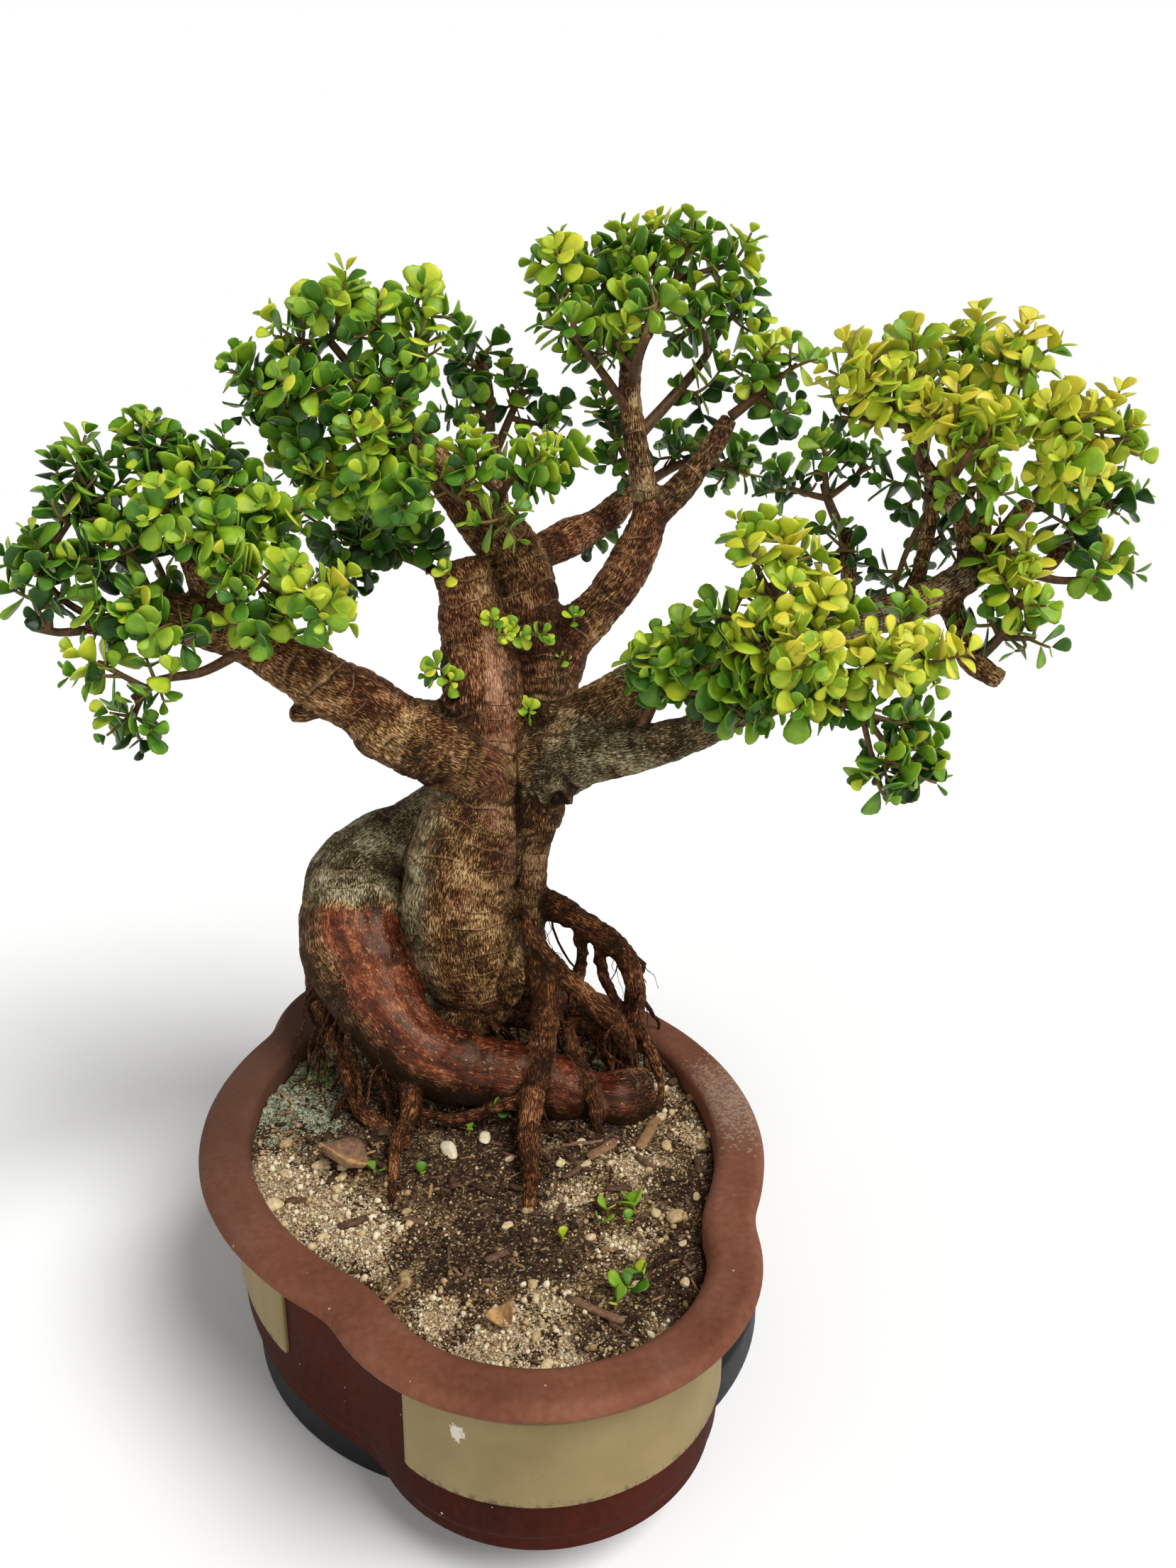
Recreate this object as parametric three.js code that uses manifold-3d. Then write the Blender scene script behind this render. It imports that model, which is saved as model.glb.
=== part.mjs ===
// A dwarf jade bonsai (Portulacaria afra): an old trunk that loops down in front of itself, aerial
// roots, a wide crown of small fleshy leaves, soil with grit, an unglazed four-lobed clay pot with
// a pale clay band on each lobe, and the low round stand under the pot.
// Millimetres, +Z up. The origin is on the stand's flat underside, straight below the middle of
// the pot. +Y runs along the pot's long axis, away from its front lobe.

import * as THREE from "three";
import { mergeVertices } from "three/addons/utils/BufferGeometryUtils.js";
import Module from "manifold-3d";

const wasm = await Module();
wasm.setup();

// Driving dimensions

const clearance = 0.3;

const stand = {
  radius: 159,
  height: 30,
  centre: [17, -4],
  footChamfer: 2,
  edgeRound: 4,
  sides: 28,
};

const pot = {
  height: 106,
  endLobeReach: 245,
  sideLobeReach: 170,
  notchX: 115,
  notchY: 148,
  notchRound: 60,
  rimWidth: 28,
  wallInset: 21,
  footInset: 23.5,
  footHeight: 10,
  bottom: 14,
  drainRadius: 11,
  drainY: 95,
};

const band = {
  bottom: 31,
  top: 80,
  relief: 1.2,
  backing: 4,
  onEndLobe: { halfAngle: 61, segments: 10 },
  onSideLobe: { halfAngle: 30, segments: 6 },
};

const soilBelowRim = 15;

const leaf = {
  length: 16,
  width: 11.5,
  thickness: 1.8,
  footHeight: 2.4,
  twigRadius: 1.2,
  liftOfPair: 66,
  liftAtTip: 46,
};

const core = {
  radius: 16,
  sides: 6,
  ribs: 0.42,
};

const shoot = {
  shortest: 30,
  longest: 42,
  perStem: 2,
  splay: 1,
  room: 0.4,
};

// Colours, roughness and metalness of each material

const materials = {
  stand: new THREE.MeshStandardMaterial({ color: 0x1b1d1f, roughness: 0.55, metalness: 0 }),
  clay: new THREE.MeshStandardMaterial({ color: 0x6b4035, roughness: 0.7, metalness: 0 }),
  soil: new THREE.MeshStandardMaterial({ color: 0x9a8768, roughness: 0.95, metalness: 0 }),
  bark: new THREE.MeshStandardMaterial({ color: 0x8a6a4d, roughness: 0.8, metalness: 0 }),
  leaf: new THREE.MeshStandardMaterial({ color: 0x6f9a3c, roughness: 0.45, metalness: 0 }),
};

// Limbs of the woody part, each a list of points [x, y, z, radius] from its joint outwards.
// The roots' last points lie on the soil, and rootsInSoil names them.

const limbs = {
  trunk: [
    [15, 80, 155, 18.5], [17, 79, 181, 32.5], [10, 81, 218, 38], [8, 82, 251, 37.5],
    [14, 82, 283, 35], [24, 81, 314, 30.5], [30, 81, 344, 28.5],
  ],
  coil: [
    [20, 112, 307, 24], [-5, 124, 284, 22.5], [-31, 125, 270, 25.5], [-52, 122, 257, 31.5],
    [-57, 113, 237, 35.5], [-60, 102, 218, 36], [-54, 83, 197, 32.5], [-47, 63, 179, 26],
    [-30, 45, 160, 24], [-6, 32, 149, 23], [24, 21, 145, 22], [48, 13, 137, 20],
    [58, 7, 133, 20], [73, 0, 132, 15.5], [88, -8, 131, 19], [107, -1, 129, 16],
  ],
  stump: [
    [29, 79, 345, 28], [25, 76, 374, 26], [23, 74, 401, 24], [20, 76, 428, 21.5],
    [17, 77, 450, 18.5], [13, 78, 466, 17],
  ],
  leader: [
    [56, 91, 335, 27], [63, 92, 386, 24], [60, 95, 423, 23], [56, 97, 450, 21.5],
    [45, 99, 475, 19.5], [28, 100, 492, 16], [10, 100, 515, 13], [-7, 100, 536, 10],
    [-22, 101, 555, 7.5], [-37, 104, 570, 5],
  ],
  hind: [
    [62, 84, 326, 19.5], [60, 87, 296, 18], [56, 90, 265, 16.5], [53, 92, 234, 16.5],
    [51, 88, 199, 19.5], [47, 84, 169, 20.5],
  ],
  left: [
    [28, 75, 334, 27.5], [-4, 76, 353, 26], [-30, 76, 364, 23.5], [-51, 76, 383, 20.5],
    [-72, 76, 396, 19], [-95, 78, 412, 17], [-118, 80, 427, 15], [-138, 80, 434, 14],
    [-158, 82, 441, 13], [-179, 86, 437, 8], [-201, 92, 433, 4.5],
  ],
  right_back: [
    [74, 93, 376, 19.5], [86, 93, 411, 17.5], [105, 92, 430, 15.5], [124, 92, 451, 15],
    [136, 94, 471, 14], [145, 97, 491, 13],
  ],
  right_low: [
    [52, 77, 331, 26.5], [72, 51, 344, 25], [88, 28, 353, 18.5], [103, 6, 360, 14.5],
    [120, -21, 372, 11.5], [136, -48, 389, 9], [155, -70, 407, 6.5], [177, -83, 413, 4.5],
  ],
  right: [
    [52, 77, 336, 26.5], [74, 57, 356, 23.5], [99, 33, 383, 18.5], [127, 13, 405, 15.5],
    [160, -5, 421, 13.5], [198, -21, 430, 12], [235, -30, 438, 11.5], [269, -36, 448, 11],
    [293, -42, 463, 10.5],
  ],
  knob_right: [[63, 63, 334, 18], [60, 59, 318, 16], [58, 64, 298, 13]],
  leader_side: [
    [57, 99, 463, 11.5], [88, 112, 473, 12], [122, 127, 485, 10.5], [151, 138, 505, 7.5],
  ],
  top_riser: [
    [145, 97, 489, 11], [139, 102, 520, 8.5], [135, 105, 546, 7.5], [133, 108, 570, 7],
    [136, 109, 589, 6.5], [145, 108, 606, 5],
  ],
  top_fork: [[145, 97, 489, 10], [164, 93, 507, 9], [181, 90, 529, 8], [195, 88, 551, 6]],
  right_riser_left: [
    [293, -42, 463, 7.5], [286, -41, 492, 6], [270, -40, 512, 5.5], [256, -37, 527, 4.5],
  ],
  right_riser_right: [[295, -42, 463, 7.5], [307, -53, 488, 6], [314, -62, 506, 5]],
  right_riser_mid: [[296, -41, 467, 6], [309, -29, 494, 5], [310, -20, 527, 4]],
  right_end: [[297, -43, 464, 6], [316, -51, 471, 5.5], [336, -57, 469, 5], [349, -59, 488, 4]],
  right_riser_hind: [[257, -33, 444, 6.5], [275, -18, 465, 5], [287, -8, 506, 4.5]],
  right_droop: [
    [281, -40, 450, 7.5], [286, -47, 430, 6.5], [291, -54, 414, 7.5], [306, -63, 402, 6.5],
  ],
  back_riser: [[218, -24, 434, 6], [240, 6, 455, 5], [251, 31, 483, 5]],
  low_riser: [[133, -45, 388, 6.5], [148, -61, 415, 5.5], [154, -60, 435, 4.5]],
  left_riser: [[-133, 81, 438, 7.5], [-141, 88, 466, 6], [-148, 92, 493, 5]],
  left_cut: [[-68, 77, 387, 8.5], [-85, 77, 379, 6], [-94, 78, 378, 4.5]],
  crest_cut: [[-7, 100, 536, 7.5], [-24, 91, 527, 7], [-35, 86, 523, 6]],
  hind_riser: [[55, 104, 459, 7], [55, 140, 501, 6], [55, 156, 540, 5]],
  root_arch: [
    [57, 90, 238, 9.5], [77, 79, 229, 10], [97, 63, 218, 9], [113, 49, 203, 7.5],
    [118, 39, 182, 7], [113, 32, 162, 6.5], [105, 27, 140, 6], [94, 20, 121, 6],
  ],
  root_arch_brace: [[99, 61, 212, 4.5], [99, 54, 191, 4], [105, 44, 174, 4], [108, 34, 157, 4]],
  root_arch_prop: [[88, 69, 215, 4.5], [88, 64, 198, 4], [83, 60, 181, 4.5], [85, 51, 168, 4]],
  root_slant: [
    [43, 59, 243, 4], [51, 52, 222, 5], [64, 41, 204, 6], [81, 31, 186, 6], [96, 21, 172, 6],
    [103, 15, 157, 5.5],
  ],
  root_long: [
    [56, 52, 208, 8.5], [55, 38, 190, 10], [49, 27, 170, 9.5], [41, 11, 155, 9],
    [28, -16, 145, 8], [20, -37, 134, 6.5], [14, -60, 126, 5], [7, -83, 119, 3.5],
  ],
  root_left: [
    [-87, 113, 208, 7], [-86, 100, 182, 6.5], [-79, 85, 163, 5.5], [-74, 64, 147, 5.5],
    [-73, 45, 134, 5.5], [-65, 29, 125, 5.5], [-55, 17, 119, 4.5],
  ],
  root_left_strand: [
    [-74, 96, 182, 4], [-64, 78, 161, 3.5], [-56, 58, 144, 3], [-52, 40, 131, 3],
    [-53, 23, 120, 2.5],
  ],
  root_fork: [
    [-37, 43, 152, 7], [-40, 20, 139, 6.5], [-47, 2, 132, 5.5], [-56, -12, 129, 4.5],
    [-61, -31, 124, 3.5], [-66, -51, 118, 2.5],
  ],
  root_creep: [
    [25, -11, 146, 4], [8, -5, 139, 4], [-13, 2, 131, 3.5], [-31, 13, 131, 3],
    [-42, 17, 136, 3],
  ],
  root_mid: [
    [66, 30, 166, 5], [68, 6, 150, 5.5], [69, -16, 139, 5], [68, -26, 125, 4],
    [67, -34, 118, 3],
  ],
  root_right: [[114, 32, 162, 4.5], [120, 17, 147, 4], [121, 2, 134, 3.5], [115, -15, 122, 2.5]],
  root_under: [[36, 70, 164, 10.5], [64, 54, 160, 10], [85, 40, 160, 9], [93, 29, 149, 6]],
};

const rootsInSoil = [
  "root_arch",
  "root_arch_brace",
  "root_arch_prop",
  "root_slant",
  "root_long",
  "root_left",
  "root_left_strand",
  "root_fork",
  "root_mid",
  "root_right",
  "root_under",
];
const rootDepth = 14;

// Leafy stems, each a list of points [x, y, z, radius] that starts inside the limb that bears it.

const stems = {
  left_tip: [[-202, 92, 432, 2.8], [-216, 94, 431, 2.4], [-230, 96, 434, 2]],
  left_corner: [[-191, 89, 435, 2.4], [-213, 100, 449, 2], [-227, 109, 468, 1.6]],
  left_rise_outer: [[-163, 84, 442, 3.6], [-173, 89, 470, 3.2], [-185, 95, 498, 2.4]],
  left_rise_mid: [[-147, 92, 492, 3.2], [-155, 97, 517, 2.4], [-156, 98, 525, 2]],
  left_rise_inner: [[-140, 88, 466, 3.2], [-115, 99, 491, 2.4], [-101, 101, 508, 2]],
  left_front: [[-98, 79, 414, 4.2], [-95, 61, 445, 3.2], [-86, 37, 464, 2.4]],
  left_behind: [[-156, 93, 446, 3.2], [-157, 131, 453, 2.6], [-161, 141, 458, 2.2]],
  left_hanging: [
    [-117, 71, 420, 3.6], [-142, 67, 409, 2.8], [-164, 66, 406, 2.4], [-180, 68, 396, 2],
  ],
  crest_tip: [[-35, 103, 567, 3], [-53, 108, 590, 2.4], [-64, 109, 603, 2]],
  crest_rise: [[-18, 100, 557, 3.4], [-4, 99, 577, 2.6], [2, 99, 599, 2]],
  crest_left: [[-23, 101, 555, 3], [-52, 105, 550, 2.6], [-76, 112, 560, 2]],
  crest_low: [[-6, 98, 524, 3.4], [-29, 97, 508, 2.6], [-55, 104, 511, 2.2]],
  crest_front: [[38, 97, 481, 4], [34, 67, 500, 3], [38, 45, 519, 2]],
  hind_rise: [[54, 156, 542, 3.2], [55, 163, 570, 2.8], [51, 168, 590, 2.4]],
  hind_side: [[56, 152, 528, 3.2], [72, 157, 559, 2.4], [78, 156, 568, 2.4]],
  hind_left: [[17, 87, 442, 4], [3, 135, 458, 3.6], [-25, 159, 468, 2.8]],
  top_tip: [[145, 106, 609, 3.6], [152, 103, 625, 2.6], [167, 98, 639, 2.2]],
  top_right: [[195, 87, 552, 3.6], [216, 83, 568, 2.8], [223, 81, 573, 2.2]],
  top_mid: [[140, 106, 541, 4.2], [165, 112, 564, 3.6], [186, 113, 587, 2.8], [198, 113, 608, 2.4]],
  top_left: [[133, 108, 570, 4], [127, 114, 602, 3.2], [119, 119, 631, 2.6]],
  top_left_low: [[135, 106, 550, 3.6], [109, 97, 579, 2.6], [90, 98, 600, 2.2]],
  top_front: [[134, 108, 569, 3.6], [122, 61, 591, 2.6], [123, 53, 596, 2]],
  behind_top: [[154, 139, 506, 3.8], [185, 142, 521, 3], [200, 140, 522, 2.4]],
  far_back: [[249, 27, 477, 3.6], [248, 51, 503, 2.8], [247, 55, 511, 2.2]],
  right_rise_left: [[257, -37, 523, 3.2], [246, -34, 548, 2.4], [242, -32, 556, 2]],
  right_rise_right: [[315, -63, 508, 3.2], [323, -71, 522, 2.4], [331, -78, 543, 2]],
  right_rise_mid: [[310, -21, 521, 3.4], [307, -17, 559, 2.6], [308, -17, 569, 2]],
  right_far: [[351, -60, 490, 3.4], [367, -65, 503, 2.4], [374, -68, 507, 2]],
  right_behind: [[286, -9, 501, 3.4], [291, 16, 535, 2.6], [285, 24, 541, 2.2]],
  right_front: [[269, -41, 510, 3.2], [255, -77, 528, 2.2], [254, -84, 534, 1.8]],
  right_drop: [[292, -55, 413, 3.8], [303, -62, 428, 3], [305, -75, 450, 2.4]],
  right_low_side: [[314, -55, 468, 3.4], [334, -69, 454, 2.4], [357, -81, 445, 2]],
  low_tip: [[176, -83, 413, 3], [191, -88, 416, 2.2], [208, -94, 421, 2]],
  low_rise: [[153, -61, 429, 3.4], [156, -59, 458, 2.6], [154, -57, 465, 2.4]],
  low_left: [[102, 9, 364, 3.8], [108, -2, 387, 3.4], [108, -17, 411, 2.4]],
  low_hanging: [[169, -79, 411, 3], [183, -90, 403, 2.2], [202, -96, 392, 2]],
};

// A seeded row of numbers from 0 to 1

function seeded(seed) {
  let state = seed >>> 0;
  return () => {
    state = (state + 0x6d2b79f5) >>> 0;
    let mixed = Math.imul(state ^ (state >>> 15), 1 | state);
    mixed = (mixed + Math.imul(mixed ^ (mixed >>> 7), 61 | mixed)) ^ mixed;
    return ((mixed ^ (mixed >>> 14)) >>> 0) / 4294967296;
  };
}

// Solids and meshes

function solidOf(geometry) {
  const bare = geometry.clone();
  bare.deleteAttribute("normal");
  bare.deleteAttribute("uv");
  const merged = mergeVertices(bare, 1e-4);
  return new wasm.Manifold(
    new wasm.Mesh({
      numProp: 3,
      vertProperties: new Float32Array(merged.attributes.position.array),
      triVerts: new Uint32Array(merged.index.array),
    }),
  );
}

function largestBody(solid) {
  return solid.decompose().reduce((best, body) => (body.volume() > best.volume() ? body : best));
}

function meshOf(name, solid, material) {
  const { numProp, vertProperties, triVerts } = solid.getMesh();
  const positions = new Float32Array((vertProperties.length / numProp) * 3);
  for (let i = 0; i < positions.length / 3; i++) {
    positions.set(vertProperties.subarray(i * numProp, i * numProp + 3), i * 3);
  }
  const geometry = new THREE.BufferGeometry();
  geometry.setAttribute("position", new THREE.BufferAttribute(positions, 3));
  geometry.setIndex(new THREE.BufferAttribute(triVerts, 1));
  geometry.computeVertexNormals();
  const mesh = new THREE.Mesh(geometry, material);
  mesh.name = name;
  return mesh;
}

// A closed skin over rings of points that run the same way round, with a point at either end.
function skin(rings, firstPole, lastPole) {
  const count = rings[0].length;
  const points = [...rings.flat(), firstPole, lastPole];
  const first = rings.length * count;
  const last = first + 1;
  const top = (rings.length - 1) * count;
  const faces = [];
  for (let j = 0; j < count; j++) {
    const next = (j + 1) % count;
    faces.push(first, next, j, last, top + j, top + next);
    for (let i = 0; i < rings.length - 1; i++) {
      const low = i * count;
      const high = low + count;
      faces.push(low + j, low + next, high + next, low + j, high + next, high + j);
    }
  }
  const geometry = new THREE.BufferGeometry().setFromPoints(points);
  geometry.setIndex(faces);
  return geometry;
}

// The stand: a low round drum with a small chamfer at its foot and a larger one at its top edge.

function makeStand() {
  const { radius, height, centre, footChamfer, edgeRound, sides } = stand;
  const profile = [
    new THREE.Vector2(0, 0),
    new THREE.Vector2(radius - footChamfer, 0),
    new THREE.Vector2(radius, footChamfer),
    new THREE.Vector2(radius, height - edgeRound),
    new THREE.Vector2(radius - edgeRound, height),
    new THREE.Vector2(0, height),
  ];
  const lathe = new THREE.LatheGeometry(profile, sides);
  lathe.rotateX(Math.PI / 2);
  lathe.translate(centre[0], centre[1], 0);
  return lathe;
}

// The pot's outline: four lobes, each an arc through two notches, joined by small hollow arcs.

function lobe(reach, notchAcross, notchAlong) {
  const bulge = reach - notchAlong;
  const radius = (notchAcross ** 2 + bulge ** 2) / (2 * bulge);
  return { radius, centre: reach - radius };
}

const endLobe = lobe(pot.endLobeReach, pot.notchX, pot.notchY);
const sideLobe = lobe(pot.sideLobeReach, pot.notchY, pot.notchX);

// The middle of the hollow arc in the notch at +X, -Y, which touches both lobes from outside.
function notchCentre() {
  const fromEnd = endLobe.radius + pot.notchRound;
  const fromSide = sideLobe.radius + pot.notchRound;
  const across = sideLobe.centre;
  const along = endLobe.centre;
  const apart = Math.hypot(across, along);
  const foot = (fromEnd ** 2 - fromSide ** 2 + apart ** 2) / (2 * apart);
  const rise = Math.sqrt(fromEnd ** 2 - foot ** 2);
  const ux = across / apart;
  const uy = along / apart;
  return [ux * foot + uy * rise, -along + uy * foot - ux * rise];
}

const notch = notchCentre();
const endHalfAngle = Math.atan2(notch[0], -(notch[1] + endLobe.centre));
const sideHalfAngle = Math.atan2(-notch[1], notch[0] - sideLobe.centre);

// Points of one quarter, from the front of the end lobe to the middle of the right side lobe.
function quarterOutline(inset) {
  const endSteps = 5;
  const notchSteps = 2;
  const sideSteps = 3;
  const points = [];
  for (let i = 0; i < endSteps; i++) {
    const angle = (endHalfAngle * i) / endSteps;
    const radius = endLobe.radius - inset;
    points.push([radius * Math.sin(angle), -endLobe.centre - radius * Math.cos(angle)]);
  }
  const turn = Math.PI / 2 - endHalfAngle - sideHalfAngle;
  for (let i = 0; i < notchSteps; i++) {
    const angle = endHalfAngle + (turn * i) / notchSteps;
    const radius = pot.notchRound + inset;
    points.push([notch[0] - radius * Math.sin(angle), notch[1] + radius * Math.cos(angle)]);
  }
  for (let i = 0; i <= sideSteps; i++) {
    const angle = sideHalfAngle * (1 - i / sideSteps);
    const radius = sideLobe.radius - inset;
    points.push([sideLobe.centre + radius * Math.cos(angle), -radius * Math.sin(angle)]);
  }
  return points;
}

// The whole outline, moved inwards by inset, as a ring at height z.
function lobedRing(inset, z) {
  const quarter = quarterOutline(inset);
  const half = [...quarter, ...quarter.slice(0, -1).reverse().map(([x, y]) => [x, -y])];
  const rest = half.slice(1, -1).reverse().map(([x, y]) => [-x, y]);
  return [...half, ...rest].map(([x, y]) => new THREE.Vector3(x, y, z));
}

const potBase = stand.height + clearance;
const innerInset = pot.rimWidth + 1.5;

function potShell() {
  const { height, wallInset, footInset, footHeight, rimWidth, bottom } = pot;
  const rows = [
    [footInset + 12, 4],
    [footInset + 10, 0],
    [footInset, 0],
    [footInset, footHeight - 2],
    [wallInset, footHeight + 1],
    [wallInset, height - 21],
    [9, height - 13],
    [2, height - 9],
    [0, height - 5],
    [4, height],
    [rimWidth - 4, height],
    [innerInset, height - 4],
    [innerInset, bottom],
  ];
  const rings = rows.map(([inset, z]) => lobedRing(inset, potBase + z));
  return skin(
    rings,
    new THREE.Vector3(0, 0, potBase + 4),
    new THREE.Vector3(0, 0, potBase + bottom),
  );
}

// A pale clay band: an arc of the lobe's wall that stands a little proud of it.
function bandOn(lobeShape, { halfAngle, segments }, turn) {
  const outer = lobeShape.radius - pot.wallInset + band.relief;
  const inner = outer - band.relief - band.backing;
  const half = THREE.MathUtils.degToRad(halfAngle);
  const shape = new THREE.Shape();
  shape.absarc(lobeShape.centre, 0, outer, -half, half, false);
  shape.absarc(lobeShape.centre, 0, inner, half, -half, true);
  const geometry = new THREE.ExtrudeGeometry(shape, {
    depth: band.top - band.bottom,
    bevelEnabled: false,
    curveSegments: segments,
  });
  geometry.rotateZ(turn);
  geometry.translate(0, 0, potBase + band.bottom);
  return geometry;
}

function drainHole(y) {
  const geometry = new THREE.CylinderGeometry(pot.drainRadius, pot.drainRadius, 40, 10);
  geometry.rotateX(Math.PI / 2);
  geometry.translate(0, y, potBase);
  return geometry;
}

function makePot() {
  let solid = solidOf(potShell());
  for (const turn of [-Math.PI / 2, Math.PI / 2]) {
    solid = solid.add(solidOf(bandOn(endLobe, band.onEndLobe, turn)));
  }
  for (const turn of [0, Math.PI]) {
    solid = solid.add(solidOf(bandOn(sideLobe, band.onSideLobe, turn)));
  }
  for (const y of [-pot.drainY, pot.drainY]) {
    solid = solid.subtract(solidOf(drainHole(y)));
  }
  return solid;
}

// Wood: a limb is a round skin along a smooth path, and all of them are joined in one body.

function sidesFor(radius) {
  if (radius > 25) return 10;
  if (radius > 12) return 7;
  if (radius > 7) return 6;
  return 5;
}

const shortestStep = 20;

function radiusAt(path, t) {
  const place = Math.min(t * (path.length - 1), path.length - 1 - 1e-9);
  const index = Math.floor(place);
  return THREE.MathUtils.lerp(path[index][3], path[index + 1][3], place - index);
}

// Even parts of each stretch of the path, each a little longer than the limb is wide.
function stepsAlong(path) {
  const steps = [0];
  for (let i = 1; i < path.length; i++) {
    const [a, b] = [path[i - 1], path[i]];
    const length = Math.hypot(b[0] - a[0], b[1] - a[1], b[2] - a[2]);
    const part = Math.max(shortestStep, 1.25 * (a[3] + b[3]));
    const parts = Math.max(1, Math.round(length / part));
    for (let k = 1; k <= parts; k++) steps.push((i - 1 + k / parts) / (path.length - 1));
  }
  return steps;
}

// A frame that turns as little as it can along the curve: at each step, the side direction that
// is left after the new tangent is taken out of the last one.
function framesAlong(curve, steps) {
  let side = new THREE.Vector3(0.31, 0.83, 0.46);
  return steps.map((t) => {
    const point = curve.getPoint(t);
    const tangent = curve.getTangent(t).normalize();
    side = side.clone().addScaledVector(tangent, -side.dot(tangent)).normalize();
    const up = new THREE.Vector3().crossVectors(tangent, side);
    return { point, tangent, side, up };
  });
}

function curveThrough(path) {
  const points = path.map(([x, y, z]) => new THREE.Vector3(x, y, z));
  return new THREE.CatmullRomCurve3(points, false, "centripetal");
}

// A round skin along a curve, a ring of the given radius at each step, with three ribs that wind
// along it and a blunt point at either end. Grow makes it fatter all over.
const ribTurn = 9;

function sweep(curve, steps, radii, sides, ribs, grow) {
  const frames = framesAlong(curve, steps);
  const rings = frames.map(({ point, side, up }, i) =>
    Array.from({ length: sides }, (_, j) => {
      const angle = (j / sides) * 2 * Math.PI;
      const reach = radii[i] * (1 + ribs * Math.sin(3 * angle + ribTurn * steps[i])) + grow;
      return point
        .clone()
        .addScaledVector(side, reach * Math.cos(angle))
        .addScaledVector(up, reach * Math.sin(angle));
    }),
  );
  const bluntness = 0.35;
  const end = frames.length - 1;
  const pole = ({ point, tangent }, reach) => point.clone().addScaledVector(tangent, reach);
  return skin(
    rings,
    pole(frames[0], -radii[0] * bluntness - grow),
    pole(frames[end], radii[end] * bluntness + grow),
  );
}

const limbRibs = 0.05;

function limbGeometry(path, grow) {
  const sides = sidesFor(Math.max(...path.map((point) => point[3])));
  const steps = stepsAlong(path);
  const radii = steps.map((t) => radiusAt(path, t));
  return sweep(curveThrough(path), steps, radii, sides, limbRibs, grow);
}

// A root's last point is carried on down into the soil.
function limbPath(name) {
  const path = limbs[name];
  if (!rootsInSoil.includes(name)) return path;
  const [x, y, z, radius] = path[path.length - 1];
  const [beforeX, beforeY] = path[path.length - 2];
  return [...path, [x + (x - beforeX) * 0.15, y + (y - beforeY) * 0.15, z - rootDepth, radius]];
}

function joinedLimbs(grow) {
  return Object.keys(limbs)
    .map((name) => solidOf(limbGeometry(limbPath(name), grow)))
    .reduce((joined, next) => joined.add(next));
}

// Soil: it fills the pot, with a low mound round the trunk, and the wood stands in plain holes.

const soilTop = potBase + pot.height - soilBelowRim;

function soilHeight(x, y) {
  const mound = 3 * Math.exp(-((x - 20) ** 2 + (y - 70) ** 2) / 90 ** 2);
  const ripples = 1.2 * Math.sin(x / 15) * Math.sin(y / 19 + 1) + 0.7 * Math.sin(x / 7 + y / 11);
  return soilTop + mound + ripples;
}

function makeSoil(wood) {
  const inset = innerInset + clearance;
  const outline = lobedRing(inset, 0);
  const floor = potBase + pot.bottom + clearance;
  const ringAt = (share) =>
    outline.map(({ x, y }) => {
      const [rx, ry] = [x * share, y * share];
      return new THREE.Vector3(rx, ry, soilHeight(rx, ry) - (share === 1 ? 2 : 0));
    });
  const geometry = skin(
    [lobedRing(inset, floor), ...[1, 0.8, 0.45].map(ringAt)],
    new THREE.Vector3(0, 0, floor),
    new THREE.Vector3(0, 0, soilHeight(0, 0)),
  );
  return largestBody(solidOf(geometry).subtract(wood));
}

// Foliage: a leafy shoot is a four-sided twig whose sides open into leaves.

// A leaf's own points: the two sides of its widest part, the two shoulders of its blunt tip, and
// the crown of its upper face. Its underside is flat, and its foot is an opening in the twig.
function leafPoints(base, outward, along, lift, size, grow) {
  const angle = THREE.MathUtils.degToRad(lift);
  const axis = outward
    .clone()
    .multiplyScalar(Math.sin(angle))
    .addScaledVector(along, Math.cos(angle));
  const across = new THREE.Vector3().crossVectors(along, outward).normalize();
  const face = new THREE.Vector3().crossVectors(outward, across);
  face.crossVectors(across, axis).normalize();
  if (face.dot(along) < 0) face.negate();
  const length = leaf.length * size + grow;
  const width = leaf.width * size + 2 * grow;
  const at = (share, side, rise) =>
    base
      .clone()
      .addScaledVector(axis, share * length)
      .addScaledVector(across, (side * width) / 2)
      .addScaledVector(face, rise);
  return {
    right: at(0.6, 1, -grow),
    left: at(0.6, -1, -grow),
    tipRight: at(1, 0.5, -grow),
    tipLeft: at(1, -0.5, -grow),
    crown: at(0.56, 0, leaf.thickness + grow),
  };
}

// The five faces of a leaf that opens from the side a, b, c, d of a twig: a and b are its lower
// corners, and c and d its upper ones, which are one point where the leaf sits at the twig's tip.
function leafFaces(a, b, c, d, start) {
  const [right, left, tipRight, tipLeft, crown] = [0, 1, 2, 3, 4].map((n) => start + n);
  const underside = [a, b, right, a, right, left, left, right, tipRight, left, tipRight, tipLeft];
  const rim = [c, right, tipRight, tipLeft, left, d];
  const upper = rim.slice(1).flatMap((next, i) => [rim[i], crown, next]);
  const foot = c === d ? [] : [c, d, crown];
  const sides = [b, c, right, a, left, d];
  return [...underside, ...upper, ...foot, ...sides];
}

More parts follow.
